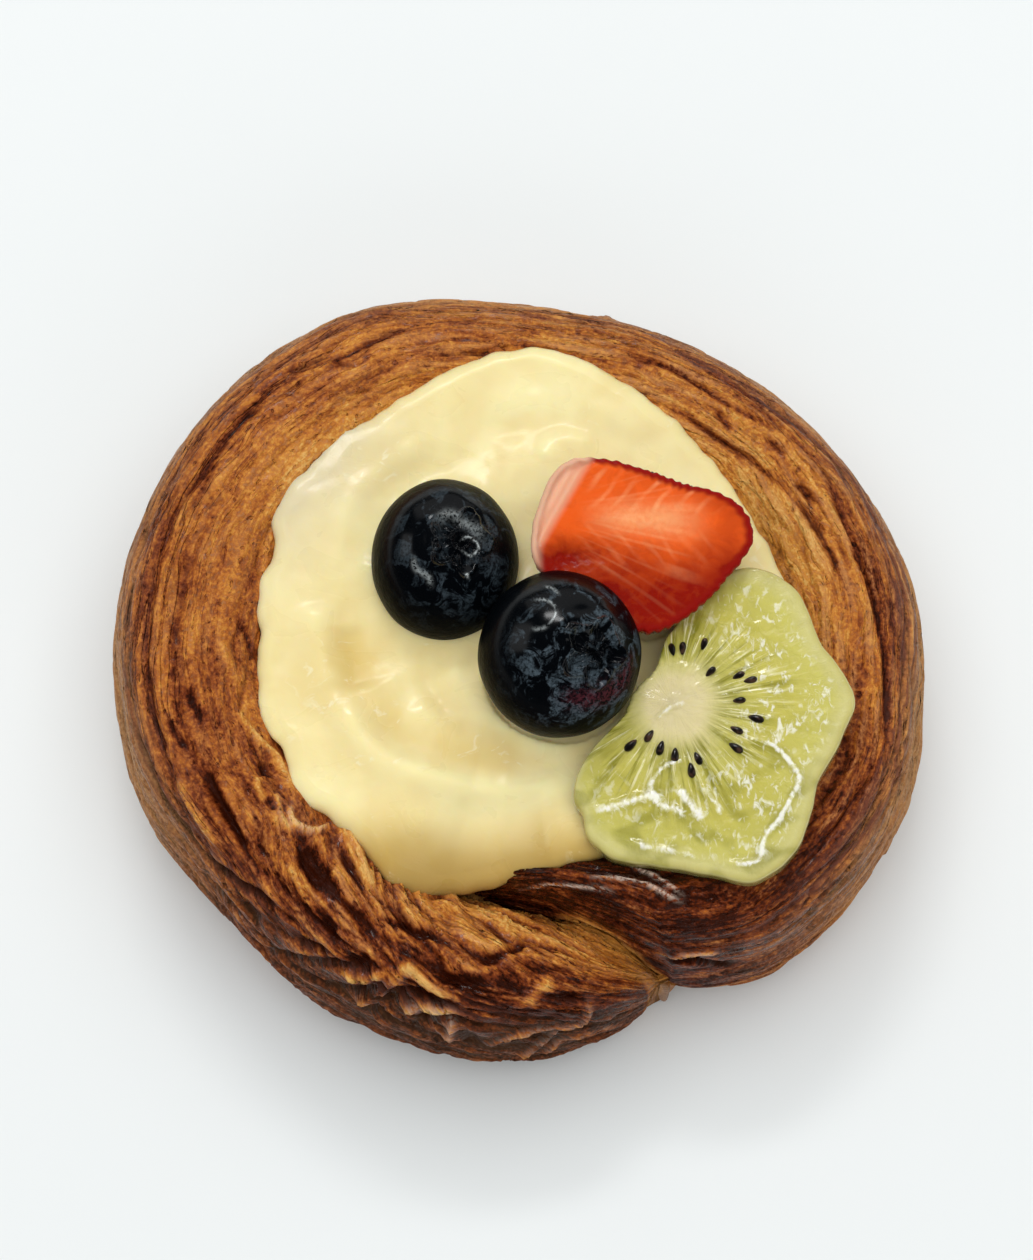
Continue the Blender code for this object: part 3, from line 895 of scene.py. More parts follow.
@dataclass
class Pastry:
    """The coiled rope of laminated dough, and the sole that closes its middle."""

    start: float = -104.0
    end: float = 292.5
    stations: int = 610
    open_lines: int = 146
    buried_lines: int = 6
    rim: Stations = (  # angle, outer radius at the widest height
        (-66, 43.3), (-58, 46.1), (-52, 48.0), (-45, 48.7), (-32, 49.4), (-20, 49.9), (-5, 49.6),
        (10, 49.3), (25, 48.0), (40, 46.9), (55, 46.1), (70, 45.7), (88, 46.4), (103, 48.6), (114, 50.1),
        (125, 50.5), (155, 50.8), (172, 50.3), (190, 49.7), (203, 49.1), (215, 47.6), (240, 47.5),
        (251, 47.6), (262, 48.2), (270, 47.7), (277, 46.9), (284, 45.8), (289, 44.6), (294, 42.8),
    )
    seam: Stations = ((-104, 29.6), (-92, 30.6), (-82, 33.0), (-74, 37.2), (-66, 43.2))
    seam_gap: float = 0.7
    crest: Stations = (  # angle, height of the rope's top
        (-104, 13.6), (-98, 17.2), (-92, 20.5), (-75, 24.5), (-50, 25.6), (-20, 25.0), (20, 25.0),
        (60, 24.6), (92, 23.8), (130, 26.2), (180, 27.2), (225, 26.2), (255, 24.6), (272, 22.4),
        (284, 18.5), (289, 15.2), (293, 9.0),
    )
    inner_radius: float = 26.0
    waist: Triple = (2.5, -80.0, 30.0)  # how much further in the inner edge goes, where, and over what angle
    taper_from: float = -82.0  # towards the start, the rope's inner edge tapers from here
    outside_from: float = -128.0  # the last strand moves outside the first one from here, a turn on
    bulge_height: float = 9.0
    crest_shift: float = 0.24
    lift: float = 0.4
    foot_angle: float = -62.0
    buried_angle: float = 166.0
    inner_foot_angle: float = 236.0
    relief_fade: Place = (25.0, 30.0)  # angles over which the relief grows at the foot and fades at its end
    relief_end: float = 190.0
    full_relief_width: float = 12.0  # a narrower rope carries less relief
    levelled: float = 0.45  # the share of the broad swells that is taken out of the relief
    reaches: tuple[int, int, int] = (30, 5, 16)  # lines that a broad, a local and a wide swell cover
    crumpled: Place = (198.0, 236.0)  # angles over which the dough becomes crumpled
    slanted_from: float = 212.0  # from here the layers slant towards the custard
    slant: float = 0.27
    slant_ease: float = 12.0
    folds: int = 31  # fold lines across the open skin, groove and ridge in turn
    fold_depth: float = 0.75
    fold_rise: float = 0.25
    twist: Stations = ((-104, 0.0), (205, 0.0), (250, 0.06), (293, 0.15))
    skin_width: float = 45.0
    end_roundness: float = 3.0
    end_rings: int = 7
    end_share: float = 0.96  # of a quarter turn, so that the last ring stays open for its fan
    web: Stations = (  # angle, height of the dough that fills the seam
        (-104, 8.0), (-93, 9.0), (-87, 11.0), (-83, 14.5), (-79, 18.6), (-75, 19.4), (-70, 17.4),
        (-66, 12.0), (-62, 6.0),
    )
    web_until: float = -60.0  # angle where that dough ends
    web_width: float = 4.4
    web_blend: float = 3.0  # difference in height over which it runs into the strands
    web_bake: float = 0.38
    bridge_reach: Place = (-83.0, -65.5)
    bridge_width: float = 1.7
    sole_inset: float = 5.2
    notch_inset: float = 2.6
    sole_thickness: float = 5.0
    mound_radius: float = 30.5
    mound_height: float = 15.5
    bake_angles: tuple[float, ...] = (-40.0, 30.0, 80.0, 118.0, 150.0)
    bake: tuple[tuple[float, ...], ...] = (  # angle along the rope, then how brown the skin is at bake_angles
        (-104, 0.80, 0.85, 0.90, 0.90, 0.90),
        (-80, 0.66, 0.88, 0.96, 0.98, 0.96),
        (-60, 0.60, 0.84, 0.92, 0.98, 0.96),
        (-42, 0.48, 0.66, 0.80, 0.90, 0.82),
        (-25, 0.32, 0.56, 0.66, 0.54, 0.52),
        (-8, 0.28, 0.46, 0.50, 0.38, 0.42),
        (12, 0.28, 0.43, 0.42, 0.30, 0.38),
        (32, 0.28, 0.39, 0.42, 0.22, 0.20),
        (52, 0.34, 0.44, 0.46, 0.26, 0.34),
        (72, 0.42, 0.46, 0.46, 0.36, 0.44),
        (95, 0.48, 0.48, 0.48, 0.38, 0.52),
        (120, 0.52, 0.56, 0.48, 0.30, 0.58),
        (140, 0.54, 0.60, 0.48, 0.28, 0.58),
        (160, 0.52, 0.62, 0.52, 0.38, 0.70),
        (180, 0.48, 0.56, 0.54, 0.48, 0.80),
        (200, 0.50, 0.64, 0.60, 0.50, 0.78),
        (218, 0.56, 0.76, 0.68, 0.56, 0.66),
        (236, 0.68, 0.86, 0.68, 0.52, 0.46),
        (250, 0.78, 0.96, 0.78, 0.44, 0.34),
        (264, 0.86, 1.00, 0.84, 0.42, 0.38),
        (278, 0.88, 1.00, 0.80, 0.36, 0.52),
        (287, 0.84, 0.92, 0.60, 0.30, 0.40),
        (293, 0.74, 0.70, 0.52, 0.44, 0.44),
    )
    marks: tuple[Mark, ...] = (  # rise, width, tone and frost (dried glaze, partly a painted glint), then places along the rope and across its skin
        (-0.6, 0.36, 0.35, 0, ((190.4, 30), (193.5, 30.4), (197.8, 30.9))),
        (-0.5, 0.32, 0.3, 0, ((193.4, 26), (196.1, 26.4), (199.4, 26.9))),
        (-0.5, 0.32, 0.3, 0, ((171.5, 23), (175.3, 23), (179, 23))),
        (-0.5, 0.32, 0.3, 0, ((162.5, 22.3), (168.5, 22.7))),
        (-0.5, 0.4, 0.2, 0, ((177.3, 34.8), (180.5, 36), (185.7, 36.9))),
        (0.5, 0.6, -0.1, 0, ((181.5, 33.2), (185.5, 33.8), (188.3, 34.4), (191.6, 35.4))),
        (-0.6, 0.36, 0.2, 0, ((138, 26.8), (141.5, 26.4), (148.6, 26.4), (155.8, 26.7))),
        (-0.6, 0.36, 0.2, 0, ((123.9, 27.3), (116.1, 26.7), (108.2, 26.1))),
        (-0.6, 0.4, 0.2, 0, ((204.6, 29.5), (211.1, 29.2), (217.6, 28.9))),
        (-0.3, 0.9, 0.22, 0, ((66.6, 22.7), (58.1, 24), (48.3, 24.6), (40.5, 23.9), (30.1, 23.3),
         (21, 24.4))),
        (-0.7, 0.35, 0.22, 0, ((58, 31), (48, 31.8), (36, 31), (24, 30), (8, 29))),
        (-0.6, 0.35, 0.2, 0, ((74, 27.4), (62, 27.2), (50, 27.8), (38, 27))),
        (-0.7, 0.35, 0.22, 0, ((30, 26.2), (18, 27.2), (4, 27), (-10, 25.8), (-24, 24))),
        (-0.7, 0.35, 0.2, 0, ((20, 19.6), (8, 20.4), (-6, 18), (-18, 14.6))),
        (-0.5, 0.35, 0.18, 0, ((96, 30.6), (86, 31.2), (76, 31.6), (66, 32.6))),
        (-0.6, 0.35, 0.2, 0, ((112, 22.4), (100, 21.8), (88, 21.6), (76, 22.4))),
        (-0.7, 0.45, 0.3, 0, ((50.5, 29), (48, 29.5), (45.5, 30.3))),
        (-0.7, 0.4, 0.3, 0, ((30.5, 29), (28, 28.8), (25, 28.5))),
        (-0.6, 0.4, 0.3, 0, ((40.5, 28.2), (38, 28.3), (35.5, 28.2))),
        (-0.3, 1.2, 0.2, 0, ((15, 26), (9.3, 25.8), (-0.5, 23.9), (-8.3, 20.2), (-14.8, 16.9), (-22, 16))),
        (1.5, 0.45, -0.1, 0, ((41.6, 12.2), (43.2, 12.4))),
        (0.7, 1, 0, 0, ((77, 8), (76, 20))),
        (0.6, 0.35, -0.3, 0, ((194.6, 35.6), (197.4, 34.6), (200.7, 35.2), (204, 35.9), (207.2, 36.5),
         (212.4, 36), (216, 35.4))),
        (0.5, 0.35, -0.25, 0, ((209, 33.6), (212.6, 32.6), (216.8, 32.2), (222, 31.9))),
        (0.9, 0.35, -0.35, 0.3, ((217.4, 34.8), (220.2, 33.6), (222.8, 33.8), (225.2, 35), (225.6, 37.2))),
        (0.6, 0.3, -0.3, 0.15, ((214, 34.2), (217, 33.4), (220, 32.8), (223.6, 33))),
        (-1, 0.9, 0.12, 0, ((207.4, 35), (210.6, 34.2))),
        (-0.9, 0.7, 0.15, 0, ((214.6, 32.6), (217.6, 33))),
        (-1.5, 1.1, 0.3, 0, ((226.4, 33.6), (229.6, 33), (233.4, 32.8))),
        (-0.8, 0.4, 0.3, 0, ((194.6, 27.9), (197.4, 28.2), (200.2, 28.8))),
        (-0.9, 0.4, 0.25, 0, ((202.8, 30.2), (209.8, 29.5), (216.4, 28.8), (220, 28.4))),
        (-1.1, 0.5, 0.3, 0, ((193, 23), (199.4, 23.3), (204, 23), (211, 23), (216.4, 23.1), (222.4, 24.8),
         (228.2, 25.5))),
        (-1.2, 1, 0.35, 0, ((216, 18.2), (219.6, 19.2), (222.6, 20.2))),
        (0.7, 0.6, -0.2, 0, ((203.6, 27), (207.2, 26.6), (211.4, 26.2), (217.6, 26))),
        (0.3, 0.9, 0.05, 0, ((217, 34.4), (223.5, 34.1), (230.6, 34.1))),
        (-0.8, 0.5, 0.25, 0, ((226.1, 31.6), (231.3, 31.8), (236.2, 32.7))),
        (0.8, 0.7, -0.35, 0, ((226, 38.2), (230, 37), (235.2, 36), (241.7, 34.8))),
        (-0.9, 0.5, 0.3, 0, ((221.5, 24), (226.1, 25.8), (229.5, 26.3))),
        (-0.7, 0.8, 0.3, 0, ((224.4, 22.7), (228, 22.3))),
        (-1, 0.55, 0.35, 0, ((236.2, 29.9), (238.2, 29.6), (239.3, 29), (239.1, 27.6))),
        (-0.9, 0.6, 0.3, 0, ((234.2, 24.9), (236.8, 25.6), (239.5, 26.6))),
        (-1, 0.5, 0.3, 0, ((229, 17.4), (235.9, 22.3), (240.4, 25.1), (244.6, 27.4))),
        (-1.5, 1, 0.4, 0, ((243, 27.2), (244.8, 28), (246.6, 28.9))),
        (0.9, 0.6, -0.2, 0, ((242.9, 24.6), (245, 25.8), (247.2, 27), (249.4, 29.4))),
        (-1.7, 0.7, 0.45, 0, ((240.5, 20.8), (243.5, 21.8), (245.6, 22.6), (247.6, 24.6), (250.2, 29))),
        (1.1, 0.7, -0.1, 0, ((245.4, 20.2), (247.4, 23.2), (249.4, 26.6), (251.5, 30.1), (253.2, 31.6))),
        (0.9, 0.6, -0.15, 0, ((251.5, 30.6), (255.4, 30.2), (259.6, 29.4))),
        (-1.7, 0.75, 0.45, 0, ((248.9, 21.9), (250.6, 24.8), (252.4, 27.4), (256, 28.4), (259.8, 28.6))),
        (0.9, 0.5, -0.3, 0.3, ((252.4, 23.6), (255.4, 26.2), (258.2, 27.4), (260.6, 28))),
        (-1.6, 0.7, 0.45, 0, ((255, 21.4), (256.6, 24.4), (259, 26.2), (261.6, 27))),
        (-1.2, 0.8, 0.35, 0, ((246.6, 18.4), (248.9, 21), (251, 19.4))),
        (0.7, 0.4, -0.2, 0.35, ((259.6, 27.2), (260, 24.2), (259.4, 20.6))),
        (-1.1, 0.9, 0.35, 0, ((261.6, 24.8), (262.8, 22.4), (263, 20))),
        (-0.7, 0.5, 0.3, 0, ((263, 34), (267.1, 35.7), (271.7, 38.2))),
        (-0.7, 0.5, 0.25, 0, ((256, 31.2), (260.6, 32), (265, 32.6))),
        (-0.7, 0.45, 0.25, 0, ((244, 33), (250.2, 34.4), (256.6, 35))),
        (0.8, 0.4, -0.2, 0.2, ((265, 20.6), (267, 23), (269.7, 24.8), (273.6, 25.8), (278.2, 26.1),
         (280, 28.9), (280.4, 31.6))),
        (0.7, 0.4, -0.2, 0.2, ((269, 17.4), (271.8, 19.8), (273.6, 22.2), (275.6, 25))),
        (0.7, 0.4, -0.2, 0.2, ((272.6, 17.4), (276.2, 20.6), (280.1, 21.3), (285.2, 18.6))),
        (-0.9, 0.7, 0.3, 0, ((268.4, 21.6), (270.6, 22.8), (272.2, 23.6))),
        (-1.1, 0.8, 0.35, 0, ((275.6, 22.6), (277.6, 23.8), (279.6, 24.2))),
        (-1, 0.9, 0.35, 0, ((275.4, 31.6), (278.6, 31.6))),
        (0.6, 0.7, -0.35, 0, ((270.6, 31), (273, 32.4), (275.4, 33.8))),
        (-0.8, 0.5, 0.4, 0, ((-72.6, 12.6), (-71, 13.4), (-69.6, 14.6))),
        (-1.3, 0.5, 0.4, 0, ((-66.2, 20), (-63.4, 20), (-60.4, 18.8), (-56.4, 17))),
        (0.6, 0.35, -0.45, 0.3, ((-67.2, 19.8), (-63, 21.4), (-58.6, 21.1))),
        (0.45, 0.3, -0.2, 0.7, ((-90.3, 23), (-84.5, 26.4), (-80.6, 27.6), (-75.4, 28.9), (-71.4, 29.5))),
        (0.45, 0.3, -0.2, 0.8, ((-75, 30.4), (-70.6, 31.3), (-65.6, 31.7), (-63, 30.4), (-60.6, 29.3))),
        (0.45, 0.3, -0.2, 0.8, ((-66, 34.4), (-62.3, 32.3), (-59.8, 29.9))),
    )
    finish: CrustFinish = field(default_factory=CrustFinish)

    def edges(self, degrees: Array) -> tuple[Array, Array]:
        """Inner and outer radius of the rope at each angle along it."""
        past_start = degrees - FULL_TURN
        first = self.seam[0][0]
        beside_seam = through(self.seam, degrees) - self.seam_gap / 2
        outer = np.where(degrees < self.rim[0][0], beside_seam, through(self.rim, degrees))
        taper = np.clip((self.taper_from - degrees) / (self.taper_from - self.start), 0, 1)
        inner = self.inner_radius - self.waist[0] * hump(degrees, *self.waist[1:]) + 1.5 * taper
        beside = ease(past_start, self.outside_from, first)
        outside = through(self.seam, past_start) + self.seam_gap / 2
        return np.where(past_start > self.outside_from, (1 - beside) * inner + beside * outside, inner), outer

    def section(self, inner: Array, outer: Array, crest: Array, angle: Array) -> tuple[Array, Array]:
        """Radius and height of the bare skin at an angle round the rope's section.

        Args:
            inner: Inner radius of the rope.
            outer: Outer radius of the rope.
            crest: Height of its top.
            angle: 0 at the widest place and 90 at the crest.

        Returns:
            The radius and the height.
        """
        middle, half = (inner + outer) / 2, (outer - inner) / 2
        across, up = np.cos(np.radians(angle)), np.sin(np.radians(angle))
        bulge = np.minimum(self.bulge_height, 0.45 * crest)
        radius = middle + half * np.sign(across) * np.abs(across) ** 0.85
        radius = radius + self.crest_shift * half * np.clip(up, 0, 1) ** 2
        below = bulge * (1 + up / math.sin(math.radians(-self.foot_angle)))
        height = np.where(up > 0, bulge + (crest - bulge) * np.abs(up) ** 0.92, below)
        return radius, np.maximum(height, 0) + self.lift

    def top(self, x: float, y: float) -> float:
        """Height of the bare dough at one place: the higher strand there, or the mound in the middle."""
        radius, degrees = math.hypot(x, y), math.degrees(math.atan2(y, x))
        highest = self.mound_height
        for along in (degrees, degrees + FULL_TURN):
            if self.start <= along <= self.end:
                inner, outer = self.edges(np.array([along]))
                crest = through(self.crest, along)
                radii, heights = self.section(inner, outer, crest, np.linspace(0, 180, 91))
                highest = max(highest, float(np.interp(radius, radii[::-1], heights[::-1], left=0, right=0)))
        return highest

    def folds_at(self, degrees: Array, share: Array) -> Array:
        """The broad folds of the layers: sharp grooves between rounded ridges.

        Args:
            degrees: Angles along the rope.
            share: Places across the open skin, from 0 at the outer foot to 1 under the custard.

        Returns:
            The relief in millimetres.
        """
        line = share * self.folds
        groove = 2 * np.round(line / 2)
        side = groove + np.where(line >= groove, 1, -1)
        away = np.abs(line - groove)
        depth = -self.fold_depth * np.clip(0.5 + 0.6 * wander(degrees, groove), 0.05, 1.2)
        depth = depth * (1 - 0.4 * hump(degrees, 60, 42))
        rise = self.fold_rise * wander(degrees, side + 40)
        return depth * (1 - away) ** 2.2 + rise * away

    def layers(self, along: Array, across: Array, rough: Array) -> tuple[Array, Array, Array]:
        """The thin layers between the folds, with their splits and pits.

        Args:
            along: Millimetres along the rope.
            across: Millimetres across the skin.
            rough: How crumpled the dough is, from 0 to 1.

        Returns:
            The relief in millimetres, how far each place is inside a split, and how brown its flake is.
        """
        drift = 1.5 * noise(along / 21, across / 9, 1) + 0.5 * noise(along / 7, across / 4, 2)
        line = across + drift * (1 + 1.2 * rough)
        broad, inside_broad = flakes(along / 17 + 0.4 * noise(along / 9, line, 13), line / 2.2, 3)
        small, inside_small = flakes(along / 6, line / 1.05, 4)
        thin = np.abs(noise(along / 6, line / 0.85, 5))
        crowded = ease(noise(along / 17, across / 9, 9), -0.4, 0.5)
        torn = (1 - ease(inside_broad, 0.0, 0.16)) * (0.15 + 0.85 * crowded)
        split = (1 - ease(inside_small, 0.0, 0.16)) * (1 - 0.6 * crowded)
        relief = 0.45 * broad + 0.2 * small + 0.24 * thin - 0.42 * torn - 0.12 * split
        relief = relief + 0.5 * noise(along / 14, across / 8, 8)
        ridge = 1 - 2.4 * np.abs(noise(along / 12 + 0.8 * broad, line / 1.5, 15))
        curl = 1 - 2.4 * np.abs(noise(along / 5.5 + 0.8 * small, line / 0.75, 16))
        relief = relief + rough * (0.38 * ridge + 0.26 * curl)
        return relief, np.clip(0.65 * torn + 0.3 * split, 0, 1), 0.5 * (broad + 0.6 * small) - 0.4

    def skin(self) -> tuple[Array, dict[str, Array]]:
        """The rope's rings, with what the finish reads at each point.

        Returns:
            The rings, as stations by lines by three coordinates, and the looks by name.
        """
        degrees = np.linspace(self.start, self.end, self.stations)[:, None]
        inner, outer = (edge.reshape(-1, 1) for edge in self.edges(degrees[:, 0]))
        crest, twist = (through(curve, degrees[:, 0])[:, None] for curve in (self.crest, self.twist))
        even = np.linspace(0, 1, self.open_lines)[None, :]
        share = even - 4 * even * (1 - even) * (twist - 0.012 * wander(degrees, 3))
        buried = np.linspace(self.buried_angle, self.inner_foot_angle, self.buried_lines + 1)[1:]
        buried = np.broadcast_to(buried, (self.stations, self.buried_lines))
        open_turn = self.buried_angle - self.foot_angle
        angle = np.concatenate([self.foot_angle + open_turn * share, buried], 1)
        shown = np.clip((angle - self.foot_angle) / self.relief_fade[0], 0, 1)
        shown = shown * np.clip((self.relief_end - angle) / self.relief_fade[1], 0, 1)
        radius, height = self.section(inner, outer, crest, angle)
        slope = np.stack([np.gradient(radius, axis=1), np.gradient(height, axis=1)], -1)
        normal = np.stack([slope[..., 1], -slope[..., 0]], -1)
        normal /= np.linalg.norm(normal, axis=-1)[..., None]

        hidden = 1 + (buried - self.buried_angle) / open_turn
        whole = np.concatenate([np.broadcast_to(even, share.shape), hidden], 1)
        along = np.radians(degrees) * ROPE_RADIUS + 0 * whole
        across = whole * self.skin_width
        rough = ease(degrees, *self.crumpled) * (0.6 + 0.4 * ease(angle, 20, 75))
        past = np.clip(along - math.radians(self.slanted_from) * ROPE_RADIUS, 0, None)
        slanted = across + self.slant * past**2 / (past + self.slant_ease)
        layers, inside, flake = self.layers(along, slanted, rough)
        crumple = rough * (np.abs(noise(slanted / 4.2, along / 13, 11)) - 0.33)
        marks = [crease(*row) for row in self.marks]
        weights = [mark.weight(along, across) for mark in marks]
        drawn, tone, frost = (
            sum(getattr(mark, kind) * weight for mark, weight in zip(marks, weights))
            for kind in ("rise", "tone", "frost")
        )
        relief = self.folds_at(degrees, np.clip(whole, 0, 1)) + layers + crumple + drawn
        relief = (relief - box_blur(relief, self.reaches[0], 1) * self.levelled) * shown
        relief = relief * np.minimum(1.0, (outer - inner) / self.full_relief_width)
        local, wide = (relief - box_blur(relief, reach, 1) for reach in self.reaches[1:])

        radius, height = radius + relief * normal[..., 0], height + relief * normal[..., 1]
        rings = spun(radius, np.radians(degrees), height)
        raised, joined = self.webbed(rings[..., 0], rings[..., 1], height)
        rings[..., 2] = np.maximum(np.where(shown > 0, raised, height), self.lift)
        bake = self.browning(degrees, angle) * (1 - joined) + self.web_bake * joined
        looks = {
            "strand": np.stack([along, slanted, 0 * along], -1),
            # Browner in the relief's low places and more golden on its crests, over the browning from the
            # table: painted shade and painted light.
            "bake": np.clip(
                bake + tone - (0.34 + 0.2 * rough) * local - 0.12 * rough * wide
                + 0.3 * flake + 0.02 * rough - 0.01,
                0, 1.1,
            ),
            "coarse": np.clip(
                0.3 + 0.3 * ease(degrees, 205, 232) + 0.55 * (1 - ease(degrees, 78, 128))
                - 0.25 * hump(angle, 150, 22),
                0, 1,
            ),
            "lined": np.clip(0.15 + hump(degrees, 165, 46) * (1 - ease(angle, 76, 104)), 0, 1),
            "plum": (1 - joined) * hump(angle, 60, 13) * (0.48 + 0.37 * hump(degrees, 5, 70))
            * ease(degrees, -72, -40),
            "dull": (1 - ease(angle, 38, 74)) * (1 - 0.9 * ease(degrees, 192, 226)) * ease(degrees, -64, -8),
            "olive": np.clip(0.4 * joined + hump(degrees, 24, 15) * hump(angle, 136, 26), 0, 1),
            # Crevice colour in the splits and the relief's low places: painted shade.
            "hollow": np.clip(
                0.25 * inside + (0.75 + 0.25 * rough) * ease(-local, 0.25 - 0.1 * rough, 1.0 - 0.2 * rough),
                0, 0.85,
            ),
            "frost": np.clip(frost, 0, 1),
            "gloss": np.clip(
                ease(angle, 15, 50)
                * (
                    0.35 + hump(angle, 150, 22) + 0.75 * ease(-degrees, 15, 50)
                    + 0.35 * ease(degrees, 205, 250)
                ),
                0, 1,
            ),
        }
        return self.rounded_end(rings, looks)

    def webbed(self, x: Array, y: Array, height: Array) -> tuple[Array, Array]:
        """Raises the skin beside the seam to the dough that joins the two strands there.

        Args:
            x: Places of the skin.
            y: Places of the skin.
            height: Its bare height.

        Returns:
            The raised height, and from 0 to 1 how far each place belongs to the joining dough.
        """
        degrees = np.degrees(np.arctan2(y, x))
        off = np.hypot(x, y) - through(self.seam, degrees.ravel()).reshape(x.shape)
        inside = (degrees > self.seam[0][0]) & (degrees < self.web_until)
        level = through(self.web, degrees.ravel()).reshape(x.shape)
        ripple = 0.3 * noise(x / 2.6, y / 0.9, 12)
        valley = np.where(inside, level * np.exp(-np.abs(off / self.web_width) ** 4) + ripple, -99.0)
        overlap = np.clip(self.web_blend - np.abs(height - valley), 0, None)
        joined = np.where(inside, ease(valley - height, -2.5, 1.0) * ease(degrees, -86, -79), 0.0)
        return np.maximum(height, valley) + np.where(inside, overlap**2 / (4 * self.web_blend), 0), joined

    def browning(self, degrees: Array, angle: Array) -> Array:
        """How brown the skin is, read from the bake table.

        Args:
            degrees: Angles along the rope.
            angle: Angles round its section.

        Returns:
            Values from 0, golden, to 1, nearly black.
        """
        places = [row[0] for row in self.bake]
        columns = [through(tuple(zip(places, column)), degrees[:, 0]) for column in list(zip(*self.bake))[1:]]
        knots = np.array(self.bake_angles)
        i = np.clip(np.searchsorted(knots, angle) - 1, 0, len(knots) - 2)
        t = ease((angle - knots[i]) / (knots[i + 1] - knots[i]), 0, 1)
        table = np.stack(columns, 1)
        rows = np.arange(len(table))[:, None]
        return table[rows, i] * (1 - t) + table[rows, i + 1] * t

    def rounded_end(self, rings: Array, looks: dict[str, Array]) -> tuple[Array, dict[str, Array]]:
        """Closes the rope's free end with rings that shrink as they go on."""
        turn = math.radians(self.end)
        onward = np.array([-math.sin(turn), math.cos(turn), 0.0])
        middle = rings[-1].mean(axis=0)
        extra = []
        for k in range(1, self.end_rings + 1):
            t = k / self.end_rings * math.pi / 2 * self.end_share
            shrunk = middle + (rings[-1] - middle) * math.cos(t)
            extra.append(shrunk + onward * self.end_roundness * math.sin(t))
        rings = np.concatenate([rings, np.array(extra)])
        rings[..., 2] = np.maximum(rings[..., 2], self.lift)
        return rings, {
            name: np.concatenate([values, np.repeat(values[-1:], self.end_rings, 0)])
            for name, values in looks.items()
        }

    @staticmethod
    def plain_looks(strand: Array, **values: float) -> dict[str, Array]:
        """The looks of plain dough along its own strand, with 0 for each look that isn't named."""
        even = {name: np.full(len(strand), values.get(name, 0.0)) for name in CRUST_LOOKS}
        return even | {"strand": strand}

    def sole(self) -> bpy.types.Object:
        """The flat dough under the coil and in its middle."""
        angles = np.arange(0, FULL_TURN, 3.0)
        from_notch = (angles - self.rim[0][0] + 180) % FULL_TURN - 180
        inset = self.sole_inset - self.notch_inset * hump(from_notch, 0, 12)
        edge = through(self.rim, (angles - self.rim[0][0]) % FULL_TURN + self.rim[0][0]) - inset
        mound = np.full_like(edge, self.mound_radius)
        profile = (
            (edge, 0.0),
            (edge, self.sole_thickness),
            (mound, self.sole_thickness + 3),
            (mound - 2, self.mound_height),
        )
        points, faces = closed_loft(np.array([spun(r, np.radians(angles), z) for r, z in profile]))
        # The sole's hollow value paints a little shade all over it.
        looks = self.plain_looks(points, bake=0.6, dull=0.5, hollow=0.2, coarse=1.0)
        return solid("sole", points, faces, looks, bpy.data.materials["crust"])

    def bridge(self) -> bpy.types.Object:
        """The stretched dough that fills the seam between the two strands, from the cleft between them to the
        notch.
        """
        degrees = np.linspace(*self.bridge_reach, 60)
        turn, share = np.radians(degrees), np.linspace(0, math.pi, 60)
        radius = through(self.seam, degrees)
        wide = self.bridge_width * (0.25 + 0.75 * np.sin(share) ** 0.6)
        top = through(self.web, degrees) + 0.9 * np.sin(share) - 0.6
        rings = []
        for angle in np.radians(np.arange(0, 360, 7.5)):
            off = wide * math.cos(angle)
            ridge = 0.35 * noise(degrees / 3, off / 0.55, 14) + 0.2 * noise(degrees / 1.5, off / 0.3, 15)
            up = math.sin(angle)
            height = top - 3.0 + (3.0 * up + ridge if up > 0 else 9 * up)
            rings.append(spun(radius + off, turn, np.maximum(height, 1.0)))
        points, faces = closed_loft(np.stack(rings, 1))
        strand = points * (0.5, 1.0, 0.0) + (0.0, 0.5, 0.0) * points[:, :1]
        # The bridge's hollow value paints a little shade all over it.
        looks = self.plain_looks(strand, bake=0.45, olive=0.7, hollow=0.1, gloss=0.4, coarse=1.0)
        return solid("bridge", points, faces, looks, bpy.data.materials["crust"])

    def build(self) -> None:
        """Makes the pastry as one closed piece."""
        rope = lofted("pastry_crust", *self.skin(), self.finish.material(), flip=True)
        for more in (self.sole(), self.bridge()):
            step = rope.modifiers.new("Joined", "BOOLEAN")
            step.operation, step.solver, step.object = "UNION", "MANIFOLD", more
            graph = bpy.context.evaluated_depsgraph_get()
            rope.data = bpy.data.meshes.new_from_object(rope.evaluated_get(graph), depsgraph=graph)
            rope.modifiers.clear()
            bpy.data.objects.remove(more)
        place_on(rope, Slot.PASTRY, "pastry")


# The custard and what is pressed into it


class Pressed:
    """Something that lies in the custard, so that the custard gives way under it and swells beside it."""

    def outside(self, x: Array, y: Array) -> Array:
        """Millimetres from each place to the piece's outline, below 0 inside it."""
        raise NotImplementedError

    def underside(self, x: Array, y: Array) -> Array:
        """Height of the piece's underside at each place inside its outline."""
        raise NotImplementedError


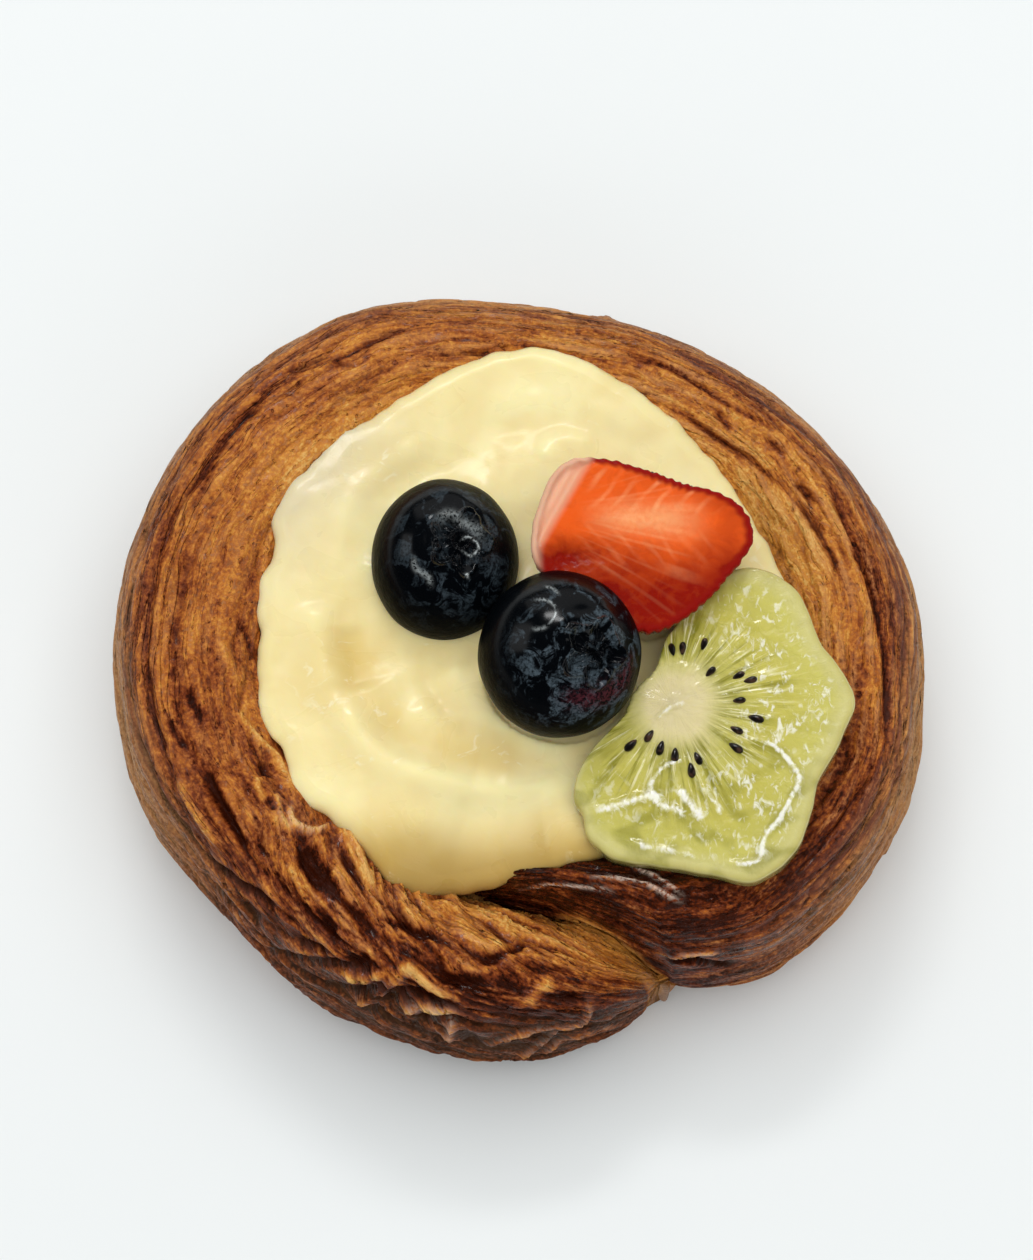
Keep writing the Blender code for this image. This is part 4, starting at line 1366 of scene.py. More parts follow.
@dataclass
class Custard:
    """The pool of custard, with the folds that the spoon left."""

    middle: Place = (-1.0, 4.0)
    rim: Stations = (  # angle, distance of the edge from the middle
        (-172, 30.8), (-163, 32.0), (-153, 33.2), (-145, 33.0), (-138, 34.9), (-131, 34.4), (-120, 35.0),
        (-112, 37.2), (-104, 35.8), (-94, 33.4), (-80, 32.6), (-60, 33.2), (-38, 34.6), (-15, 34.0),
        (8, 32.9), (21, 31.5), (36, 31.1), (56, 31.5), (70, 32.8), (85, 33.9), (97, 32.7), (108, 31.4),
        (128, 30.1), (135, 31.0), (140, 30.5), (153, 31.4), (159, 31.5), (165, 30.0), (176, 31.0),
    )
    lip: Stations = (  # angle, height of the edge over the dough
        (-175, 1.5), (-150, 1.0), (-120, 1.8), (-95, 1.9), (-60, 1.6), (0, 1.5), (60, 1.5), (100, 1.6),
        (122, 1.2), (135, 0.5), (150, 0.6), (165, 1.3),
    )
    lip_reach: float = 2.3
    shore_blur: int = 12  # neighbours on each side that even out the height of the edge
    thin_places: tuple[Triple, ...] = (  # how thin it is, round which angle, over what angle
        (1.0, 137, 9), (1.0, 152, 6), (0.9, -151, 5), (0.7, -108, 8),
    )
    floor: float = 13.0
    floor_share: float = 0.7
    flank: tuple[Place, ...] = ((3.2, 3.6), (0.5, 1.7))  # how far inside the edge, how far below the dough
    crown: float = 24.6
    swirl: float = 0.7
    swell: float = 0.5  # height of the custard that each piece of fruit pushes up beside it
    swell_width: float = 1.1
    tuck: float = 0.6  # how far in under a piece the swell goes
    overlap: float = 0.3  # how far the custard goes into a piece's underside
    sectors: int = 430
    rings: int = 130
    crowding: float = 1.15  # above 1, the rings lie closer together at the edge
    covered: float = 0.985  # share of the way to the middle that the rings go
    strokes: tuple[Stroke, ...] = (
        Stroke(((-22.4, -7.6), (-20.4, -10.6), (-16.6, -15.2), (-10.5, -17.6), (-3.4, -18.9), (2.5, -18.6),
                (7.0, -17.0)), 0.85, 1.9),
        Stroke(((-17.5, -8.5), (-13.0, -12.8), (-6.0, -14.9), (1.0, -14.8)), -0.75, 2.6),
        Stroke(((-20.9, 1.8), (-20.6, -3.0), (-19.2, -7.4)), -0.65, 2.4),
        Stroke(((-24.6, 4.5), (-24.0, -2.0), (-22.0, -6.6)), 0.5, 2.0),
        Stroke(((-21.9, 9.0), (-20.8, 16.5), (-16.8, 21.6), (-11.0, 25.0)), 0.35, 1.5),
        Stroke(((-8.6, -2.2), (-6.4, -6.8), (-2.3, -11.0), (4.2, -14.4)), 0.4, 1.5),
        Stroke(((-12.0, -3.0), (-9.8, -8.2), (-5.6, -12.4)), -0.35, 1.4),
        Stroke(((-7.0, 28.4), (2.6, 30.6), (10.0, 28.8), (15.5, 24.8)), 0.35, 2.2),
        Stroke(((2.4, 22.0), (4.6, 25.2), (9.2, 24.6)), 0.35, 1.3),
        Stroke(((-13.0, -21.0), (-6.0, -24.2), (2.0, -24.6)), 0.3, 3.2),
    )
    finish: CustardFinish = field(default_factory=CustardFinish)

    def build(self, pastry: Pastry, pressed: list[Pressed]) -> None:
        """Makes the custard.

        Args:
            pastry: The dough that it lies on.
            pressed: What is pressed into it.
        """
        angles = np.arange(self.sectors) * FULL_TURN / self.sectors
        turn = np.radians(angles)
        edge = through(self.rim, angles, FULL_TURN)
        edge = edge + 0.3 * noise(angles / 9, 0 * angles, 21) + 0.25 * noise(angles / 4, 0 * angles, 22)
        x, y = self.middle[0] + edge * np.cos(turn), self.middle[1] + edge * np.sin(turn)
        shore = np.array([pastry.top(*place) for place in zip(x, y)])
        blur = self.shore_blur
        shore = box_blur(np.concatenate([shore[-blur:], shore, shore[:blur]]), blur, 0)[blur:-blur]
        lip = through(self.lip, angles, FULL_TURN)
        top = shore + lip
        rings = [(self.floor_share * edge, 0 * edge + self.floor)]
        rings += [(edge - inset, shore - drop) for inset, drop in self.flank]
        for t in np.radians(np.linspace(-30, 90, 9)):
            rings.append((edge - self.lip_reach * (1 - math.cos(t)), top - lip * (1 - math.sin(t))))
        lip_end = len(rings) - 1
        shares = 1 - np.linspace(0, 1, self.rings) ** self.crowding * self.covered
        inner_edge = edge - self.lip_reach
        for share in shares[1:]:
            wave = np.sin(2 * turn + 9 * share) * np.sin(math.pi * share)
            level = self.crown + (top - self.crown) * share**2.2 + self.swirl * wave
            rings.append((share * inner_edge, level))
        radius, height = (np.array(column) for column in zip(*rings))
        x = self.middle[0] + radius * np.cos(turn)
        y = self.middle[1] + radius * np.sin(turn)
        open_top = (np.arange(len(rings)) >= lip_end)[:, None] * ease(edge - radius, 0.5, 3.0)
        stroked = sum(stroke.relief(x, y) for stroke in self.strokes)
        soft = 0.22 * noise(x / 6.5, y / 5.5, 23) + 0.07 * noise(x / 2.1, y / 2.6, 24)
        height = height + open_top * (stroked + soft)
        for piece in pressed:
            away = piece.outside(x, y)
            swell = self.swell * np.exp(-np.clip(away, 0, None) / self.swell_width) * open_top
            under = piece.underside(x, y) + self.overlap
            beneath = (away < -self.tuck) & (open_top > 0)
            height = np.where(beneath, np.minimum(height, under), height + swell)
        thin = sum(size * hump(angles, at, wide) for size, at, wide in self.thin_places)
        grey = hump(angles, 148, 24) * ease(radius - edge, -12.0, -1.0)
        # Deeper yellow where the folds dip, on the patch at the left and towards the front, and the front
        # colour: painted shade.
        folded = 0.2 - 0.34 * (stroked + soft)
        patch = 0.25 * hump(x, -20, 7) * hump(y, -2, 8)
        looks = {
            "depth": np.clip(folded + patch + 0.95 * ease(-y, 19, 31), 0, 1.2),
            "front": 0.95 * ease(-y, 21, 30),
            "thin": np.clip(0.6 * thin * ease(radius - edge, -4.0, -0.6) + 0.95 * grey, 0, 1),
        }
        made = lofted("custard_cream", np.stack([x, y, height], -1), looks, self.finish.material())
        place_on(made, Slot.CUSTARD, "custard")


# The fruit


@dataclass
class Blueberry(Pressed):
    """One berry with its ragged five-pointed crown."""

    name: str
    middle: Triple
    half_widths: Triple
    blossom: Triple
    crown_spread: float = 25.0  # angle from the crown's middle to its rim
    crown_lobes: int = 5
    crown_rise: float = 0.05
    crown_depth: float = 0.1
    bloom: float = 0.5
    blush: float = 0.0
    seed: int = 0
    glints: tuple[Stroke, ...] = ()
    sectors: int = 220
    finish: BerryFinish = field(default_factory=BerryFinish)

    def share_out(self, x: Array, y: Array) -> Array:
        """Distance of each place from the middle, 1 at the berry's outline."""
        u, v = ((place - self.middle[k]) / self.half_widths[k] for k, place in enumerate((x, y)))
        return np.hypot(u, v)

    def outside(self, x: Array, y: Array) -> Array:
        """Millimetres from each place to the berry's outline, below 0 inside it."""
        return (self.share_out(x, y) - 1) * self.half_widths[0]

    def underside(self, x: Array, y: Array) -> Array:
        """Height of the berry's lower half at each place inside its outline."""
        return self.middle[2] - self.half_widths[2] * np.sqrt(np.clip(1 - self.share_out(x, y) ** 2, 0, 1))

    def frame(self) -> Array:
        """The berry's own axes, the last one through its crown."""
        z = np.array(self.blossom) / np.linalg.norm(self.blossom)
        x = np.cross((0, 1, 0), z)
        x /= np.linalg.norm(x)
        return np.stack([x, np.cross(z, x), z])

    def build(self, skin: bpy.types.Material) -> None:
        """Makes the berry."""
        polar = np.concatenate([np.linspace(1.2, 46, 90), np.linspace(48, 178, 70)])[:, None]
        around = np.linspace(0, 2 * math.pi, self.sectors, endpoint=False)[None, :]
        east, north = np.cos(around), np.sin(around)
        ragged = noise(4 * east + self.seed, 4 * north, 31)
        lobe = np.cos(self.crown_lobes * around + 0.5 * noise(1.5 * east, 1.5 * north, 32 + self.seed))
        ring = self.crown_spread - 3.5 + 3.0 * lobe + 1.6 * ragged
        rim = hump(polar, ring, 1.9) * (0.75 + 0.25 * lobe + 0.35 * noise(9 * east, 9 * north, 33))
        crater = 1 - ease(polar - ring, -6.5, -1.0)
        stump = hump(polar, 7.5, 1.6) * (0.8 + 0.3 * ragged)
        creases = crater * 0.016 * noise(7 * east + polar / 9, 7 * north, 34 + self.seed)
        flare = 0.012 * lobe * hump(polar, self.crown_spread + 6, 5)
        level, flat = np.cos(np.radians(polar)), np.sin(np.radians(polar))
        dents = 0.010 * noise(2.2 * east * flat, 2.2 * north * flat + self.seed, 35)
        distance = 1 + self.crown_rise * rim - self.crown_depth * crater * (0.8 + 0.2 * ragged)
        distance = distance + 0.035 * stump + creases + flare + dents
        local = np.stack([distance * flat * east, distance * flat * north, distance * level], -1)
        rings = np.array(self.middle) + np.array(self.half_widths) * (local @ self.frame())
        up = (rings[..., 2] - self.middle[2]) / self.half_widths[2]
        upper = ease(up, 0, 0.2)
        shine = sum(mark.tone * mark.weight(rings[..., 0], rings[..., 1]) for mark in self.glints) * upper
        side = local[..., 0] * 0.4 - local[..., 1] * 0.6
        looks = {
            "local": local + self.seed,
            "bloom": np.clip(self.bloom * (0.07 + 1.6 * hump(polar, 34, 24) + 0.3 * side), 0, 1),
            "blush": np.clip(self.blush * hump(polar, 32, 9) * ease(side, 0.1, 0.35), 0, 1),
            "glint": np.clip(shine, 0, 1),
            "sheen": 0.01 + 0.6 * ease(up, 0.5, 0.92),
        }
        place_on(lofted(f"{self.name}_skin", rings, looks, skin, flip=True), Slot.BLUEBERRY, self.name)


class Cut(Pressed):
    """A cut piece of fruit, made flat round its own middle, then tilted and put in its place."""

    middle: Triple
    outline: Stations
    tilt: Place

    def edge(self, degrees: Array) -> Array:
        """The outline's radius at each angle."""
        return through(self.outline, np.ravel(degrees), FULL_TURN).reshape(np.shape(degrees))

    def distances(self, x: Array, y: Array) -> tuple[Array, Array]:
        """How far each place is from the middle, and how far the outline is in the same direction."""
        dx, dy = x - self.middle[0], y - self.middle[1]
        return np.hypot(dx, dy), self.edge(np.degrees(np.arctan2(dy, dx)))

    def flesh_piece(self, name: str, rings: Array, looks: dict[str, Array], finish) -> bpy.types.Object:
        """Makes the flesh.

        Args:
            name: The piece's name.
            rings: The rings of the flat piece.
            looks: What the finish reads at each point of the rings.
            finish: The flesh's finish.

        Returns:
            The flesh in its place.
        """
        return lofted(name, turned(rings, self.middle, self.tilt), looks, finish.material())

    def seeds_piece(self, name: str, seeds: list[Array], finish: SeedFinish) -> bpy.types.Object:
        """Makes the seeds as one piece.

        Args:
            name: The piece's name.
            seeds: The rings of each seed in the flat piece.
            finish: The seeds' finish.

        Returns:
            The seeds in their places.
        """
        points, faces = many_lofts(seeds)
        return solid(name, turned(points, self.middle, self.tilt), faces, {}, finish.material())


@dataclass
class KiwiSlice(Cut):
    """The glazed kiwi slice, with its seeds round the core."""

    middle: Triple = (18.5, -8.5, 27.0)
    outline: Stations = (  # angle, distance from the middle
        (63, 17.3), (49, 18.9), (41, 19.1), (34, 18.7), (20, 18.1), (6, 19.8), (-3, 20.9), (-10, 20.4),
        (-22, 19.7), (-33, 19.5), (-42, 20.8), (-52, 22.8), (-61, 23.8), (-70, 23.9), (-81, 21.8),
        (-98, 20.6), (-115, 20.8), (-123, 19.9), (-128, 18.3), (-135, 17.4), (-143, 14.5), (-148, 11.8),
        (-153, 8.9), (-158, 7.1), (-167, 6.1), (180, 5.4), (163, 4.6), (137, 4.0), (110, 5.4), (98, 7.4),
        (89, 8.8), (76, 13.0),
    )
    thickness: float = 4.7
    tilt: Place = (2.6, -4.2)
    core: Place = (0.2, -0.9)
    core_radius: float = 5.2
    heart: Place = (-0.6, -1.0)
    sectors: int = 480
    rings: int = 96
    flank: tuple[Place, ...] = ((0.6, 0.0), (0.15, 0.5), (0.0, 1.3), (0.0, 2.2), (0.0, 3.4))  # inset, height
    rounding: float = 0.6  # radius of the upper edge
    seeds: tuple[Place, ...] = (  # angle round the core, distance from it
        (96, 6.4), (85, 6.5), (66, 7.6), (43, 5.2), (23, 7.7), (16, 8.8), (0, 7.1), (-14, 9.3),
        (-28, 7.6), (-41, 8.7), (-131, 5.4), (-138, 7.7), (-112, 6.0), (-95, 6.5), (-73, 7.2), (-81, 8.4),
    )
    seed_size: Triple = (0.86, 0.42, 0.34)
    # Raised ridges of glaze, with highlights painted along them.
    wet_lines: tuple[Stroke, ...] = (
        Stroke(((25.3, -14.0), (29.4, -14.8), (32.5, -18.6), (31.7, -20.9), (30.4, -23.2), (28.4, -25.9),
                (27.6, -28.4), (25.4, -28.9), (22.7, -28.7)), 0.42, 0.42),
        Stroke(((20.0, -16.2), (17.1, -17.1), (15.3, -19.1), (15.6, -20.4), (17.5, -20.9)), 0.35, 0.45),
        Stroke(((20.7, -19.6), (21.9, -20.4), (22.9, -21.9), (23.5, -23.4)), 0.35, 0.5),
        Stroke(((7.7, -22.6), (10.1, -22.1), (12.6, -21.4), (15.1, -20.9), (16.5, -21.9), (18.4, -22.6),
                (19.9, -23.7)), 0.4, 0.62),
        Stroke(((12.0, -25.7), (14.5, -26.7), (18.4, -27.4), (21.3, -28.4)), 0.3, 0.5),
        Stroke(((18.1, -19.6), (19.9, -21.7), (21.6, -23.9)), 0.4, 0.75),
        Stroke(((15.9, -11.7), (17.6, -10.2), (19.7, -9.4)), 0.3, 0.4),
    )
    flesh: KiwiFinish = field(default_factory=KiwiFinish)
    seed_finish: SeedFinish = SeedFinish("kiwi_seed", paint(18, 13, 11), paint(70, 48, 36))

    def outside(self, x: Array, y: Array) -> Array:
        """Millimetres from each place to the slice's outline, below 0 inside it."""
        away, edge = self.distances(x, y)
        return away - edge

    def underside(self, x: Array, y: Array) -> Array:
        """Height of the slice's flat underside."""
        dx, dy = x - self.middle[0], y - self.middle[1]
        lean = math.tan(math.radians(self.tilt[0])) * dy - math.tan(math.radians(self.tilt[1])) * dx
        return self.middle[2] - self.thickness / 2 + lean

    def build(self) -> None:
        """Makes the slice and its seeds."""
        angles = np.arange(self.sectors) * FULL_TURN / self.sectors
        turn = np.radians(angles)
        edge = self.edge(angles) + 0.12 * noise(angles / 7, 0 * angles, 41)
        low, high = -self.thickness / 2, self.thickness / 2
        rings = [(0.5 * edge, low)] + [(edge - inset, low + up) for inset, up in self.flank]
        for t in np.radians(np.linspace(10, 80, 7)):
            inset, drop = self.rounding * (1 - math.cos(t)), self.rounding * (1 - math.sin(t))
            rings.append((edge - inset, high - 0.1 - drop))
        first_face = len(rings)
        for share in np.linspace(1, 0.012, self.rings):
            rings.append((share * (edge - 0.65), high + 0.1 * (1 - share) - 0.08))
        radius = np.array([r for r, _ in rings])
        height = np.array([z + 0 * turn for _, z in rings])
        x, y = radius * np.cos(turn), radius * np.sin(turn)
        cx, cy = x - self.heart[0], y - self.heart[1]
        reach, heading = np.hypot(cx, cy), np.arctan2(cy, cx)
        east, north = np.cos(heading), np.sin(heading)
        face = (np.arange(len(rings)) >= first_face)[:, None] * ease(edge - radius, 0.6, 2.2)
        rays = noise(15 * east, 15 * north + reach / 30, 42)
        fine = noise(33 * east, 33 * north + reach / 14, 43)
        ray_end = reach + 2.5 * noise(2.5 * east, 2.5 * north, 48)
        rayed = ease(reach, 4.6, 6.6) * (1 - ease(ray_end, 9.5, 14.5))
        degrees = np.degrees(heading)
        right = hump((degrees + 10 + 180) % 360 - 180, 0, 55)
        clouded = noise(x / 3.4, y / 2.6, 46)
        moat = hump(reach, self.core_radius + 0.9, 1.3)
        flat_x, flat_y = x + self.middle[0], y + self.middle[1]
        # Height of the glaze's ridges, which also carries the highlights painted along them.
        glaze_glint = sum(line.weight(flat_x, flat_y) * line.rise for line in self.wet_lines)
        ripple = 0.1 * noise(x / 1.9, y / 1.5, 44) + 0.05 * noise(x / 0.9, y / 0.8, 45)
        grooves = 0.09 * rays * (0.3 + rayed) + 0.05 * fine * rayed - 0.16 * moat
        height = height + face * (grooves + ripple + glaze_glint)
        border = np.clip(reach / np.maximum(reach + edge - radius, 16), 0, 1)
        outer = ease(reach, 5, 9)
        border = np.maximum(border, 1 - np.clip(edge - radius, 0, 99) * outer / 10 - (1 - outer))
        low_right = 0.08 + 0.34 * ease(-degrees, 5, 45)
        looks = {
            "slice": np.stack([east, north, reach], -1),
            "reach": border,
            "rayed": np.clip(rayed, 0, 1),
            "deep": np.clip(
                hump(degrees, 88, 26) * ease(reach, 5, 10)
                + 0.6 * hump(reach, 6.4, 1.6) * ease(rays, -0.2, 0.4)
                + low_right * ease(reach, 6, 12) * (0.4 + 1.6 * ease(clouded, -0.1, 0.4)),
                0, 1,
            ),
            # Painted highlights: glint clusters on the right, and glints along the glaze's ridges.
            "glint_net": np.clip(right * ease(reach, 7, 10) + 0.35 * ease(reach, 9, 12), 0, 1)
            * ease(edge - radius, 1, 3),
            "glaze_glint": np.clip(1.6 * glaze_glint, 0, 0.8),
        }
        rings = np.stack([x, y, height], -1)
        place_on(self.flesh_piece("kiwi_flesh", rings, looks, self.flesh), Slot.KIWI, "kiwi_slice")
        place_on(self.seeds_piece("kiwi_seeds", self.shaped_seeds(high), self.seed_finish), Slot.KIWI)

    def shaped_seeds(self, high: float) -> list[Array]:
        """Shapes the seeds, teardrops that point at the core.

        Args:
            high: Height of the flat slice's upper face.

        Returns:
            The rings of each seed.
        """
        level, side, up = ball(0.97, 11, 16)
        drop = 1 + 0.3 * level
        teardrop = np.stack([level, drop * side, drop * up], -1)
        shaped = []
        for n, (angle, distance) in enumerate(self.seeds):
            larger, askew = (float(lattice(np.array(n), np.array(j), seed)) for j, seed in ((5, 46), (9, 47)))
            turn = math.radians(angle + 14 * (askew - 0.5))
            cos, sin = math.cos(turn), math.sin(turn)
            spin = np.array([[cos, sin, 0], [-sin, cos, 0], [0, 0, 1]])
            spot = spun(distance, math.radians(angle), high - 0.02) + (*self.core, 0)
            shaped.append(teardrop * self.seed_size * (0.9 + 0.25 * larger) @ spin + spot)
        return shaped


@dataclass
class StrawberryHalf(Cut):
    """The half strawberry, cut face up, with its seeds along the skin."""

    middle: Triple = (15.0, 9.0, 34.0)
    outline: Stations = (  # angle, distance from the middle
        (33, 10.6), (21, 11.9), (11, 12.5), (2, 12.5), (-11, 11.4), (-22, 10.5), (-40, 10.0), (-55, 10.0),
        (-72, 10.5), (-89, 11.1), (-100, 11.0), (-120, 11.6), (-150, 12.0), (-169, 13.8), (176, 13.8),
        (160, 13.6), (144, 13.8), (133, 13.3), (120, 11.4), (102, 9.3), (80, 8.2), (53, 8.5),
    )
    depth: float = 10.2  # from the cut face to the back
    tilt: Place = (7.0, 3.0)
    sectors: int = 420
    rings: int = 84
    hollow: tuple[float, float, float, float] = (-9.2, -1.9, 4.4, 1.7)  # its middle, and its two half widths
    scallops: int = 52
    back_power: float = 0.92  # below 1, the back is fuller than round
    seed_rows: tuple[tuple[int, int], ...] = ((3, 1), (22, 2), (42, 2))  # angle below the face, step
    seed_size: Triple = (0.3, 0.3, 0.55)
    bare: Place = (118.0, 205.0)  # angles without seeds, where the leaves were
    flesh: StrawberryFinish = field(default_factory=StrawberryFinish)
    seed_finish: SeedFinish = SeedFinish("strawberry_seed", paint(60, 22, 12), paint(150, 84, 34))

    def outside(self, x: Array, y: Array) -> Array:
        """Millimetres from each place to a line just inside the half's outline, below 0 inside it."""
        away, edge = self.distances(x, y)
        return away - 0.9 * edge

    def underside(self, x: Array, y: Array) -> Array:
        """Height of the rounded back."""
        away, edge = self.distances(x, y)
        share = away / edge
        return self.middle[2] - self.depth * np.sqrt(np.clip(1 - share**2, 0, 1))

    def scallop(self, angles: Array) -> Array:
        """The skin's wave from one seed to the next."""
        depth = 0.15 * (0.5 + 0.5 * noise(angles / 13, 0 * angles, 58))
        depth = depth * (1 - 0.8 * ease(np.abs(angles - 180), 60, 30))
        return depth * np.cos(self.scallops * np.radians(angles))

    def build(self) -> None:
        """Makes the half and its seeds."""
        angles = np.arange(self.sectors) * FULL_TURN / self.sectors
        turn = np.radians(angles)
        edge = self.edge(angles) + self.scallop(angles) + 0.1 * noise(angles / 6, 0 * angles, 51)
        rings = []
        for polar in np.linspace(84, 8, 34):
            share = math.cos(math.radians(polar)) ** self.back_power
            dimple = 0.09 * np.cos(self.scallops * turn + polar / 4) * np.cos(polar / 3.2)
            rings.append((share * edge + dimple, 0 * edge - self.depth * math.sin(math.radians(polar))))
        for t in np.radians(np.linspace(0, 75, 6)):
            rings.append((edge - 0.5 * (1 - math.cos(t)), 0 * edge - 0.4 + 0.6 * math.sin(t)))
        first_face = len(rings)
        for share in np.linspace(0.995, 0.012, self.rings):
            rings.append((share * (edge - 0.5), 0 * edge + 0.22 + 0.35 * (1 - share)))
        radius, height = (np.array(column) for column in zip(*rings))
        x, y = radius * np.cos(turn), radius * np.sin(turn)
        face = (np.arange(len(rings)) >= first_face)[:, None] * ease(edge - radius, 0.45, 1.3)
        cut = face * (1 - self.shoulder(x, y))
        hx, hy, wide, tall = self.hollow
        hollow = np.exp(-(((x - hx) / wide) ** 2) - ((y - hy - 0.12 * (x - hx)) / tall) ** 2)
        hollow = hollow * (1 + 0.16 * noise(x / 0.8, y / 0.7, 52))
        vein = self.veins(x, y)
        grain = 0.05 * noise(x / 0.9, y / 0.7, 53) + 0.16 * noise(x / 5, y / 4, 54)
        height = height + cut * (0.08 * vein + grain - 0.7 * hollow)
        slope = self.shoulder(x, y) * face
        height = height - slope * (0.8 + 0.2 * np.cos((x - 0.55 * y) * 3.4))
        rim = 1 - ease(edge - radius, 0.2, 1.5)
        low = ease(-(y + 0.1 * x), -2.0, 7.0)
        looks = {
            "vein": np.clip(vein * cut, 0, 1),
            "redness": np.clip(
                0.04 + 0.95 * low + 0.42 * hollow + 0.5 * rim + 0.55 * ease(x, 3, 11)
                - 0.3 * hump(y + 0.04 * x, 2.5, 2.4),
                0, 1,
            ),
            "skin": np.clip(1 - face, 0, 1) * (height < 0.3),
            "shoulder": np.clip(0.8 * self.shoulder(x, y) * (height > -4), 0, 1),
        }
        rings = np.stack([x, y, height], -1)
        flesh = self.flesh_piece("strawberry_flesh", rings, looks, self.flesh)
        place_on(flesh, Slot.STRAWBERRY, "strawberry_half")
        seeds = self.seeds_piece("strawberry_seeds", self.shaped_seeds(), self.seed_finish)
        place_on(seeds, Slot.STRAWBERRY)

    def shoulder(self, x: Array, y: Array) -> Array:
        """How far each place is on the pale shoulder beside the missing leaves."""
        line = x + 13.0 - 0.56 * np.clip(y + 1.2, 0, None)
        return 1 - ease(line, -0.7, 0.9)

    def veins(self, x: Array, y: Array) -> Array:
        """The pale veins of the cut face: a middle band, and bundles that slant from it towards the tip.

        Args:
            x: Places along the berry, its tip at the greatest.
            y: Places across it.

        Returns:
            Values from 0 to 1.
        """
        off = y + 0.04 * x - 2.5
        band = 0.66 * hump(off, 0, 1.2 + 0.05 * (x + 12)) * ease(x, -9, -2) * (1 - ease(x, 1, 8.5))
        away = np.abs(off)
        phase = (x - 0.62 * away - 0.035 * away**2) / 2.5 + 0.35 * noise(x / 4, y / 4, 55)
        stripe = np.clip(1.5 * np.cos(2 * math.pi * phase) - 0.5, 0, 1)
        fade = ease(away, 0.4, 1.6) * (1 - ease(away, 3.4 + 0.12 * (8 - x), 5.8 + 0.12 * (8 - x)))
        strength = np.where(off > 0, 0.26, 0.13) * (0.7 + 0.9 * noise(x / 2.2, y / 6, 57))
        heading = np.arctan2(off, x + 15)
        fan = 0.16 * ease(noise(26 * heading, x / 9, 59), 0.0, 0.7) * ease(x, -10, -4) * (1 - ease(x, 3, 8))
        fan = fan * (1 - 0.6 * ease(-off, 5, 9))
        bundles = strength * stripe * fade * ease(x, -9.5, -6) * (1 - ease(x, 5, 9.5))
        return np.clip(band + bundles + fan, 0, 1)

    def shaped_seeds(self) -> list[Array]:
        """Shapes the seeds that lie in the skin just under the cut face and on the back."""
        level, side, up = ball(0.95, 9, 12)
        seed = np.stack([side, up, level], -1) * self.seed_size
        shaped = []
        for row, (polar, every) in enumerate(self.seed_rows):
            share = math.cos(math.radians(polar)) ** self.back_power
            for n in range(0, self.scallops, every):
                angle = FULL_TURN * (n + 0.5 + 0.5 * row) / self.scallops
                jitter = float(lattice(np.array(n), np.array(row), 56))
                if self.bare[0] < angle < self.bare[1] or (row == 0 and jitter > 0.55):
                    continue
                radius = share * float(self.edge(np.array([angle]))[0]) - 0.2
                height = -self.depth * math.sin(math.radians(polar)) + 0.5 * (jitter - 0.7)
                shaped.append(seed * (0.75 + 0.5 * jitter) + spun(radius, math.radians(angle), height))
        return shaped


# The studio


@dataclass(frozen=True)
class Lamp:
    """One soft rectangular light, or a card that only shows in reflections."""

    name: str
    at: Triple
    size: Place
    power: float
    glossy: bool = True
    diffuse: bool = True

    def hang(self, target: Vector) -> None:
        """Hangs the lamp, facing the target. Its places are in metres and its power in watts."""
        data = bpy.data.lights.new(self.name, "AREA")
        data.shape, data.size, data.size_y, data.energy = "RECTANGLE", self.size[0], self.size[1], self.power
        made = bpy.data.objects.new(self.name, data)
        made.location = self.at
        made.rotation_mode = "QUATERNION"
        made.rotation_quaternion = (target - Vector(self.at)).to_track_quat("-Z", "Y")
        made.visible_camera, made.visible_glossy, made.visible_diffuse = False, self.glossy, self.diffuse
        bpy.context.scene.collection.objects.link(made)


